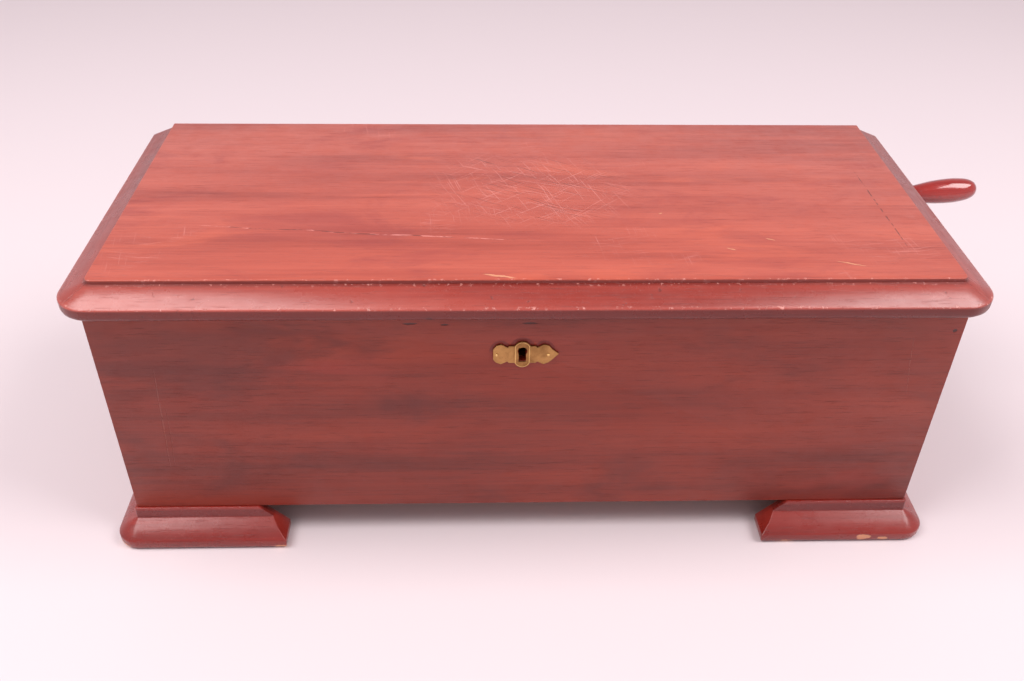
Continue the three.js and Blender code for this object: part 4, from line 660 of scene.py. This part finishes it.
def smooth_group():
    """Shades smooth across the flatter edges, and drops the imported normals."""
    group = bpy.data.node_groups.new("smooth_by_angle", "GeometryNodeTree")
    group.interface.new_socket("Mesh", in_out="INPUT", socket_type="NodeSocketGeometry")
    group.interface.new_socket("Mesh", in_out="OUTPUT", socket_type="NodeSocketGeometry")
    source = group.nodes.new("NodeGroupInput")
    result = group.nodes.new("NodeGroupOutput")
    weld = group.nodes.new("GeometryNodeMergeByDistance")
    weld.inputs["Distance"].default_value = WELD_DISTANCE
    angle = group.nodes.new("GeometryNodeInputMeshEdgeAngle")
    sharp = group.nodes.new("FunctionNodeCompare")
    sharp.operation = "GREATER_THAN"
    sharp.inputs[1].default_value = math.radians(SMOOTH_BELOW_DEGREES)
    normals = group.nodes.new("GeometryNodeSetMeshNormal")
    normals.mode = "SHARPNESS"
    normals.inputs["Remove Custom"].default_value = True
    group.links.new(source.outputs[0], weld.inputs["Geometry"])
    group.links.new(weld.outputs[0], normals.inputs["Mesh"])
    group.links.new(angle.outputs["Unsigned Angle"], sharp.inputs[0])
    group.links.new(sharp.outputs[0], normals.inputs["Edge Sharpness"])
    group.links.new(normals.outputs[0], result.inputs[0])
    return group


smooth_by_angle = smooth_group()


def smooth(piece):
    modifier = piece.modifiers.new("smooth_by_angle", "NODES")
    modifier.node_group = smooth_by_angle


def rounded(piece, width):
    """Clears the flat faces of their triangles and rounds the arrises."""
    weld = piece.modifiers.new("weld", "WELD")
    weld.merge_threshold = WELD_DISTANCE
    flat = piece.modifiers.new("flat_faces", "DECIMATE")
    flat.decimate_type = "DISSOLVE"
    flat.angle_limit = math.radians(FLAT_WITHIN_DEGREES)
    bevel = piece.modifiers.new("arris", "BEVEL")
    bevel.width = width
    bevel.segments = 3
    bevel.limit_method = "ANGLE"
    bevel.angle_limit = math.radians(ARRIS_ABOVE_DEGREES)
    bevel.miter_outer = "MITER_ARC"


# The width of each rounded arris, in millimetres
ARRISES = {
    "lid_board": 0.9, "lid_moulding_front": 0.5, "lid_moulding_left": 0.5, "lid_moulding_right": 0.5,
    "front_panel": 0.7, "back_panel": 0.9, "left_panel": 0.7, "right_panel": 0.7,
    "bottom_board": 0.8, "partition_left": 0.5, "partition_right": 0.5,
    "foot_front_left": 0.6, "foot_front_right": 0.6, "foot_back_left": 0.6, "foot_back_right": 0.6,
    "inner_lid_frame": 0.8, "inner_lid_glass": 0.3, "bedplate": 1.2, "comb_base": 1.0,
    "lock_staple": 0.4, "lock_bolt": 0.4, "escutcheon": 0.35, "crank_arm": 0.8, "crank_nut": 0.5,
    "lever_stand": 0.5, "start_lever": 0.5, "governor_frame": 0.4, "cylinder_bearing": 0.5,
    "spring_bracket_inner": 0.5, "click": 0.3, "governor_fan": 0.2,
}
for name, node in frame["nodes"].items():
    if name in ARRISES:
        rounded(node, ARRISES[name] * MM)
    smooth(node)


# ---- Pieces made here ----


def mesh_piece(name, body, finish, build):
    """A piece whose mesh build(bm) makes in the frame's own coordinates."""
    bm = bmesh.new()
    build(bm)
    bmesh.ops.recalc_face_normals(bm, faces=bm.faces)
    mesh = bpy.data.meshes.new(name)
    bm.to_mesh(mesh)
    bm.free()
    mesh.materials.append(finish)
    piece = link(bpy.data.objects.new(name, mesh))
    smooth(piece)
    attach(piece, body)
    return piece


def frame_at(place, axis):
    """The matrix that takes local +Z to that axis and the origin to that place."""
    return Matrix.Translation(place) @ Vector(axis).to_track_quat("Z", "Y").to_matrix().to_4x4()


def turned(bm, profile, sides, place, axis):
    """A solid of revolution: the profile is (distance from the axis, distance along it)."""
    where = frame_at(place, axis)
    rings = []
    for radius, along in profile:
        if radius == 0:
            rings.append([bm.verts.new(where @ Vector((0, 0, along)))])
            continue
        ring = []
        for i in range(sides):
            angle = 2 * math.pi * i / sides
            local = Vector((radius * math.cos(angle), radius * math.sin(angle), along))
            ring.append(bm.verts.new(where @ local))
        rings.append(ring)
    for one, two in zip(rings, rings[1:]):
        for i in range(sides):
            j = (i + 1) % sides
            corners = [one[i % len(one)], one[j % len(one)], two[j % len(two)], two[i % len(two)]]
            distinct = list(dict.fromkeys(corners))
            if len(distinct) > 2:
                bm.faces.new(distinct)


def curve_through(points, steps):
    """Points on a smooth curve through the given (u, v) points, as a Catmull-Rom spline."""
    found = []
    ends = [points[0], *points, points[-1]]
    for i in range(1, len(ends) - 2):
        a, b, c, d = (Vector(p) for p in ends[i - 1:i + 3])
        for step in range(steps):
            t = step / steps
            found.append(
                0.5 * (2 * b + (c - a) * t + (2 * a - 5 * b + 4 * c - d) * t * t
                       + (3 * b - a - 3 * c + d) * t ** 3)
            )
    found.append(Vector(points[-1]))
    return [(max(0.0, u), v) for u, v in found]


def tapered_box(bm, place, base, tip, low, high):
    """A closed square peg on local Z at that place, of half width base at low and tip at high."""
    corners = []
    for size, z in ((base, low), (tip, high)):
        for x, y in ((-size, -size), (size, -size), (size, size), (-size, size)):
            corners.append(bm.verts.new(place @ Vector((x, y, z))))
    for side in ((3, 2, 1, 0), (4, 5, 6, 7), (0, 1, 5, 4), (1, 2, 6, 5), (2, 3, 7, 6), (3, 0, 4, 7)):
        bm.faces.new([corners[i] for i in side])


def tube(bm, points, radius, sides=10):
    """A round closed tube along a ring of points."""
    count = len(points)
    rings = []
    for i, point in enumerate(points):
        along = (points[(i + 1) % count] - points[i - 1]).normalized()
        side = along.cross(Vector((0, 1, 0))).normalized()
        other = along.cross(side)
        ring = []
        for k in range(sides):
            angle = 2 * math.pi * k / sides
            offset = side * math.cos(angle) + other * math.sin(angle)
            ring.append(bm.verts.new(point + offset * radius))
        rings.append(ring)
    for i, ring in enumerate(rings):
        after = rings[(i + 1) % count]
        for k in range(sides):
            j = (k + 1) % sides
            bm.faces.new((ring[k], ring[j], after[j], after[k]))


def joint_named(name):
    found = next(joint for joint in frame["joints"] if joint["name"] == name)
    return Vector(found["pos_m"]), Vector(found["axis"]).normalized()


GRIP_SIDES = 48
# Shares of the belly's radius and of the grip's length: the bore, and the outline from neck to tip
GRIP_BORE = 0.31
GRIP_BORE_DEPTH = 0.06
GRIP_OUTLINE = (
    (0.58, 0.0), (0.63, 0.025), (0.60, 0.06), (0.58, 0.10), (0.635, 0.20), (0.80, 0.35), (0.94, 0.50),
    (0.995, 0.66), (0.97, 0.76), (0.87, 0.87), (0.68, 0.945), (0.38, 0.988), (0.0, 1.0),
)


def crank_handle():
    """The turned grip, smooth from its slim neck to its full belly and blunt tip."""
    origin, axis = joint_named("grip_spin")
    offsets = [vertex.co - origin for vertex in frame["nodes"]["crank_grip"].data.vertices]
    alongs = [offset.dot(axis) for offset in offsets]
    belly = max((offset - axis * along).length for offset, along in zip(offsets, alongs))
    start, length = min(alongs), max(alongs) - min(alongs)
    bore = GRIP_BORE * belly
    profile = [(bore, GRIP_BORE_DEPTH * length), (bore, 0.0)]
    for radius, along in curve_through(GRIP_OUTLINE, 4):
        profile.append((radius * belly, min(1.0, along) * length))
    place = origin + axis * start
    piece = mesh_piece(
        "crank_handle", "crank_grip", grip_wood,
        lambda bm: turned(bm, profile, GRIP_SIDES, place, axis),
    )
    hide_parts("crank_grip")


# Shares of a screw head's radius
SHANK = 0.5
HALF_SLOT = 0.14
HEAD_TOP = 0.93
# Shares of its height
SLOT_FLOOR = 0.45
HEAD_SHOULDER = 0.82
HEAD_SIDES = 24


def slotted_head(bm, place, axis, radius, height, turn):
    """A screw head with a slot across it, and a short shank below its seat."""
    where = frame_at(place, axis) @ Matrix.Rotation(turn, 4, "Z")
    shank, floor = radius * SHANK, height * SLOT_FLOOR
    profile = [(0, -height), (shank, -height), (shank, 0), (radius, 0), (radius, floor), (0, floor)]
    turned(bm, profile, HEAD_SIDES, place, axis)
    half_slot = radius * HALF_SLOT
    start = math.asin(HALF_SLOT)
    steps = HEAD_SIDES // 2
    # Each half of the head starts just under the slot's floor, so that the two solids join.
    sunk = floor * 0.98
    for side in (1, -1):
        layers = []
        for size, z in ((1.0, sunk), (1.0, height * HEAD_SHOULDER), (HEAD_TOP, height)):
            layer = []
            for i in range(steps + 1):
                angle = start + (math.pi - 2 * start) * i / steps
                x = radius * size * math.cos(angle)
                y = max(half_slot, radius * size * math.sin(angle))
                layer.append(bm.verts.new(where @ Vector((x, side * y, z))))
            layers.append(layer)
        count = steps + 1
        for one, two in zip(layers, layers[1:]):
            for i in range(count):
                bm.faces.new((one[i], one[(i + 1) % count], two[(i + 1) % count], two[i]))
        bm.faces.new(layers[0])
        bm.faces.new(layers[-1])


def screws(name, body, finish, places, axis, radius, height):
    """One piece of several screws, their sizes in millimetres. Each slot has an angle of its own."""
    draw = random.Random(name)

    def build(bm):
        for place in places:
            slotted_head(bm, place, axis, radius * MM, height * MM, draw.uniform(0, math.pi))

    return mesh_piece(name, body, finish, build)


def spread(low, high, count):
    """Evenly spaced values between two, the ends included."""
    return [low + (high - low) * i / (count - 1) for i in range(count)]


UP, DOWN = Vector((0, 0, 1)), Vector((0, 0, -1))
RIGHT, LEFT, FORWARD = Vector((1, 0, 0)), Vector((-1, 0, 0)), Vector((0, -1, 0))


# The outline of a pin's domed head, in metres: distance from the axis, and along it
PIN_HEAD = (
    (0, -0.0006), (0.0011, -0.0006), (0.0012, 0.0), (0.0011, 0.0004), (0.0007, 0.0008), (0, 0.0009),
)
PIN_HEAD_SIDES = 20
# The bead runs this many degrees round each boss, each way from its outer end
BEAD_REACH = 70
BEAD_STEPS = 16
BEAD_RADIUS = 0.35


def keyhole_plate_details():
    """A pin at each side of the keyhole plate, and a fine raised bead round its bosses."""
    middle = keyhole_middle()
    middle.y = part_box("escutcheon")[0].y

    def pins(bm):
        for across in (-PLATE_PIN_ACROSS, PLATE_PIN_ACROSS):
            turned(bm, PIN_HEAD, PIN_HEAD_SIDES, middle + Vector((across * MM, 0, 0)), FORWARD)

    mesh_piece("keyhole_plate_pins", "case", bright_brass, pins)

    def bead(bm):
        points = []
        for rise, outwards in ((BOSS_RISE, 90), (-BOSS_RISE, 270)):
            for degrees in spread(outwards - BEAD_REACH, outwards + BEAD_REACH, BEAD_STEPS + 1):
                angle = math.radians(degrees)
                across, up = BOSS_RADIUS * math.cos(angle), rise + BOSS_RADIUS * math.sin(angle)
                points.append(middle + Vector((across * MM, 0, up * MM)))
        tube(bm, points, BEAD_RADIUS * MM)

    mesh_piece("keyhole_plate_bead", "case", bright_brass, bead)


# How far screws stand from the edges of what they hold, or from its middle, in metres
LEAF_SCREW_INSET = 0.008
LEAF_SCREW_FROM_FRONT = 0.0065
LOCK_SCREW_INSET = 0.005
STAPLE_SCREW_INSET = 0.0035
BUSH_SCREW_CIRCLE = 0.0103
BEDPLATE_SCREW_INSET = 0.014
COMB_SCREW_INSET = 0.018
COMB_SCREW_FROM_FRONT = 0.010
GOVERNOR_SCREW_INSET = 0.010
GOVERNOR_SCREWS_FROM_FRONT = 0.022
GOVERNOR_SCREWS_FROM_BACK = 0.006
STAND_SCREW_INSET = 0.0035
# The thickness of the base flange of the governor's frame and of the lever's stand
FLANGE = 0.004
# A hinge leaf lies this much below the surface that it is let into
LEAF_SINK = 0.0001


def hinge_screws():
    leaves = (("case", UP, front_high.z - LEAF_SINK), ("lid", DOWN, lid_low.z + LEAF_SINK))
    for side in ("left", "right"):
        for body, axis, z in leaves:
            name = f"hinge_{side}_{body}"
            low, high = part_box(f"{name}_leaf")
            y = low.y + LEAF_SCREW_FROM_FRONT
            across = spread(low.x + LEAF_SCREW_INSET, high.x - LEAF_SCREW_INSET, 4)
            places = [Vector((x, y, z)) for x in across]
            screws(f"{name}_screws", body, brass, places, axis, 2.6, 0.22)


def lock_screws():
    low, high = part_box("lock_case")
    across = (low.x + LOCK_SCREW_INSET, high.x - LOCK_SCREW_INSET)
    places = [Vector((x, (low.y + high.y) / 2, high.z)) for x in across]
    screws("lock_screws", "case", brass, places, UP, 2.2, 0.22)
    low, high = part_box("lock_staple")
    across = (low.x + STAPLE_SCREW_INSET, high.x - STAPLE_SCREW_INSET)
    places = [Vector((x, (low.y + high.y) / 2, lid_low.z)) for x in across]
    screws("staple_screws", "lid", brass, places, DOWN, 2.0, 0.18)


def bush_screws():
    low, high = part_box("winding_bush")
    middle = (low + high) / 2
    places = []
    for degrees in (30, 150, 270):
        angle = math.radians(degrees)
        y = middle.y + BUSH_SCREW_CIRCLE * math.cos(angle)
        z = middle.z + BUSH_SCREW_CIRCLE * math.sin(angle)
        places.append(Vector((high.x, y, z)))
    screws("bush_screws", "case", brass, places, RIGHT, 1.5, 0.7)


def corner_places(low, high, inset, from_front, from_back, z):
    """Four places near the corners of a box, at one height."""
    return [
        Vector((x, y, z)) for x in (low.x + inset, high.x - inset)
        for y in (low.y + from_front, high.y - from_back)
    ]


def movement_screws():
    low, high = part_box("bedplate")
    inset = BEDPLATE_SCREW_INSET
    places = corner_places(low, high, inset, inset, inset, high.z)
    screws("bedplate_screws", "case", steel, places, UP, 2.6, 1.6)
    low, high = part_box("comb")
    across = spread(low.x + COMB_SCREW_INSET, high.x - COMB_SCREW_INSET, 7)
    places = [Vector((x, low.y + COMB_SCREW_FROM_FRONT, high.z)) for x in across]
    screws("comb_screws", "case", blued, places, UP, 4.6, 2.6)
    low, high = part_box("governor_frame")
    places = corner_places(
        low, high, GOVERNOR_SCREW_INSET, GOVERNOR_SCREWS_FROM_FRONT, GOVERNOR_SCREWS_FROM_BACK,
        low.z + FLANGE,
    )
    screws("governor_screws", "case", blued, places, UP, 2.8, 1.6)
    low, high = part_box("lever_stand")
    inset = STAND_SCREW_INSET
    places = corner_places(low, high, inset, inset, inset, low.z + FLANGE)
    screws("lever_stand_screws", "case", blued, places, UP, 2.0, 1.2)


RIVETS = 8
RIVET_CIRCLE = 0.026
RIVET_SIDES = 16
RIVET_HEAD = (
    (0, -0.0006), (0.0018, -0.0006), (0.0018, 0.0), (0.0015, 0.0006), (0.0009, 0.001), (0, 0.0011),
)


def barrel_rivets():
    origin, _ = joint_named("barrel_turn")
    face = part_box("barrel_cap")[0].x

    def build(bm):
        for i in range(RIVETS):
            angle = 2 * math.pi * i / RIVETS
            y = origin.y + RIVET_CIRCLE * math.cos(angle)
            z = origin.z + RIVET_CIRCLE * math.sin(angle)
            turned(bm, RIVET_HEAD, RIVET_SIDES, Vector((face, y, z)), LEFT)

    mesh_piece("barrel_rivets", "spring_barrel", brass, build)


TEETH = 60
TUNES = 6
PINS_PER_TRACK = 8
# How far the cylinder would shift between tunes, in metres
TUNE_STEP = 0.00045
PIN_SEED = 11
# A pin's half widths at its foot and tip, and how far it goes in and stands out, in metres
PIN_FOOT, PIN_TIP = 0.00022, 0.00014
PIN_IN, PIN_OUT = 0.0003, 0.0009


def cylinder_pins():
    """The pins that pluck the comb, in six tunes: each tooth has its own band of tracks."""
    low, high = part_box("pinned_cylinder")
    comb_low, comb_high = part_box("comb")
    origin, _ = joint_named("cylinder_turn")
    radius = (high.z - low.z) / 2
    pitch = (comb_high.x - comb_low.x) / TEETH
    draw = random.Random(PIN_SEED)

    def build(bm):
        for tooth in range(TEETH):
            for tune in range(TUNES):
                track = (tune - (TUNES - 1) / 2) * TUNE_STEP
                x = comb_low.x + pitch * (tooth + 0.5) + track
                for _ in range(PINS_PER_TRACK):
                    angle = draw.uniform(0, 2 * math.pi)
                    out = Vector((0, math.cos(angle), math.sin(angle)))
                    place = Vector((x, origin.y, origin.z)) + out * radius
                    tapered_box(bm, frame_at(place, out), PIN_FOOT, PIN_TIP, -PIN_IN, PIN_OUT)

    mesh_piece("cylinder_pins", "cylinder", steel, build)


crank_handle()
keyhole_plate_details()
hinge_screws()
lock_screws()
bush_screws()
movement_screws()
barrel_rivets()
cylinder_pins()


# ---- Stage ----


def studio():
    """A pale sheet of paper under a sky that is brighter at the horizon than overhead."""
    world = bpy.data.worlds.new("studio")
    world.use_nodes = True
    background = world.node_tree.nodes["Background"]
    background.inputs["Color"].default_value = linear(*SKY_COLOUR)
    nodes, links = world.node_tree.nodes, world.node_tree.links
    direction = nodes.new("ShaderNodeTexCoord")
    split = nodes.new("ShaderNodeSeparateXYZ")
    rise = nodes.new("ShaderNodeMapRange")
    links.new(direction.outputs["Generated"], split.inputs[0])
    links.new(split.outputs["Z"], rise.inputs["Value"])
    rise.inputs["To Min"].default_value = HORIZON_STRENGTH
    rise.inputs["To Max"].default_value = ZENITH_STRENGTH
    links.new(rise.outputs[0], background.inputs["Strength"])
    bpy.context.scene.world = world
    bpy.context.scene.view_settings.view_transform = "Standard"
    finish = Finish("floor_paper", Roughness=0.9, Base_Color=linear(*FLOOR_COLOUR))
    mesh = bpy.data.meshes.new("floor")
    half = FLOOR_SIZE / 2
    corners = [(-half, -half, 0), (half, -half, 0), (half, half, 0), (-half, half, 0)]
    mesh.from_pydata(corners, [], [(0, 1, 2, 3)])
    mesh.materials.append(finish.material)
    link(bpy.data.objects.new("floor", mesh))


place_camera()
for light_name, settings in LIGHTS.items():
    area_light(light_name, **settings)
studio()

bpy.context.view_layer.update()
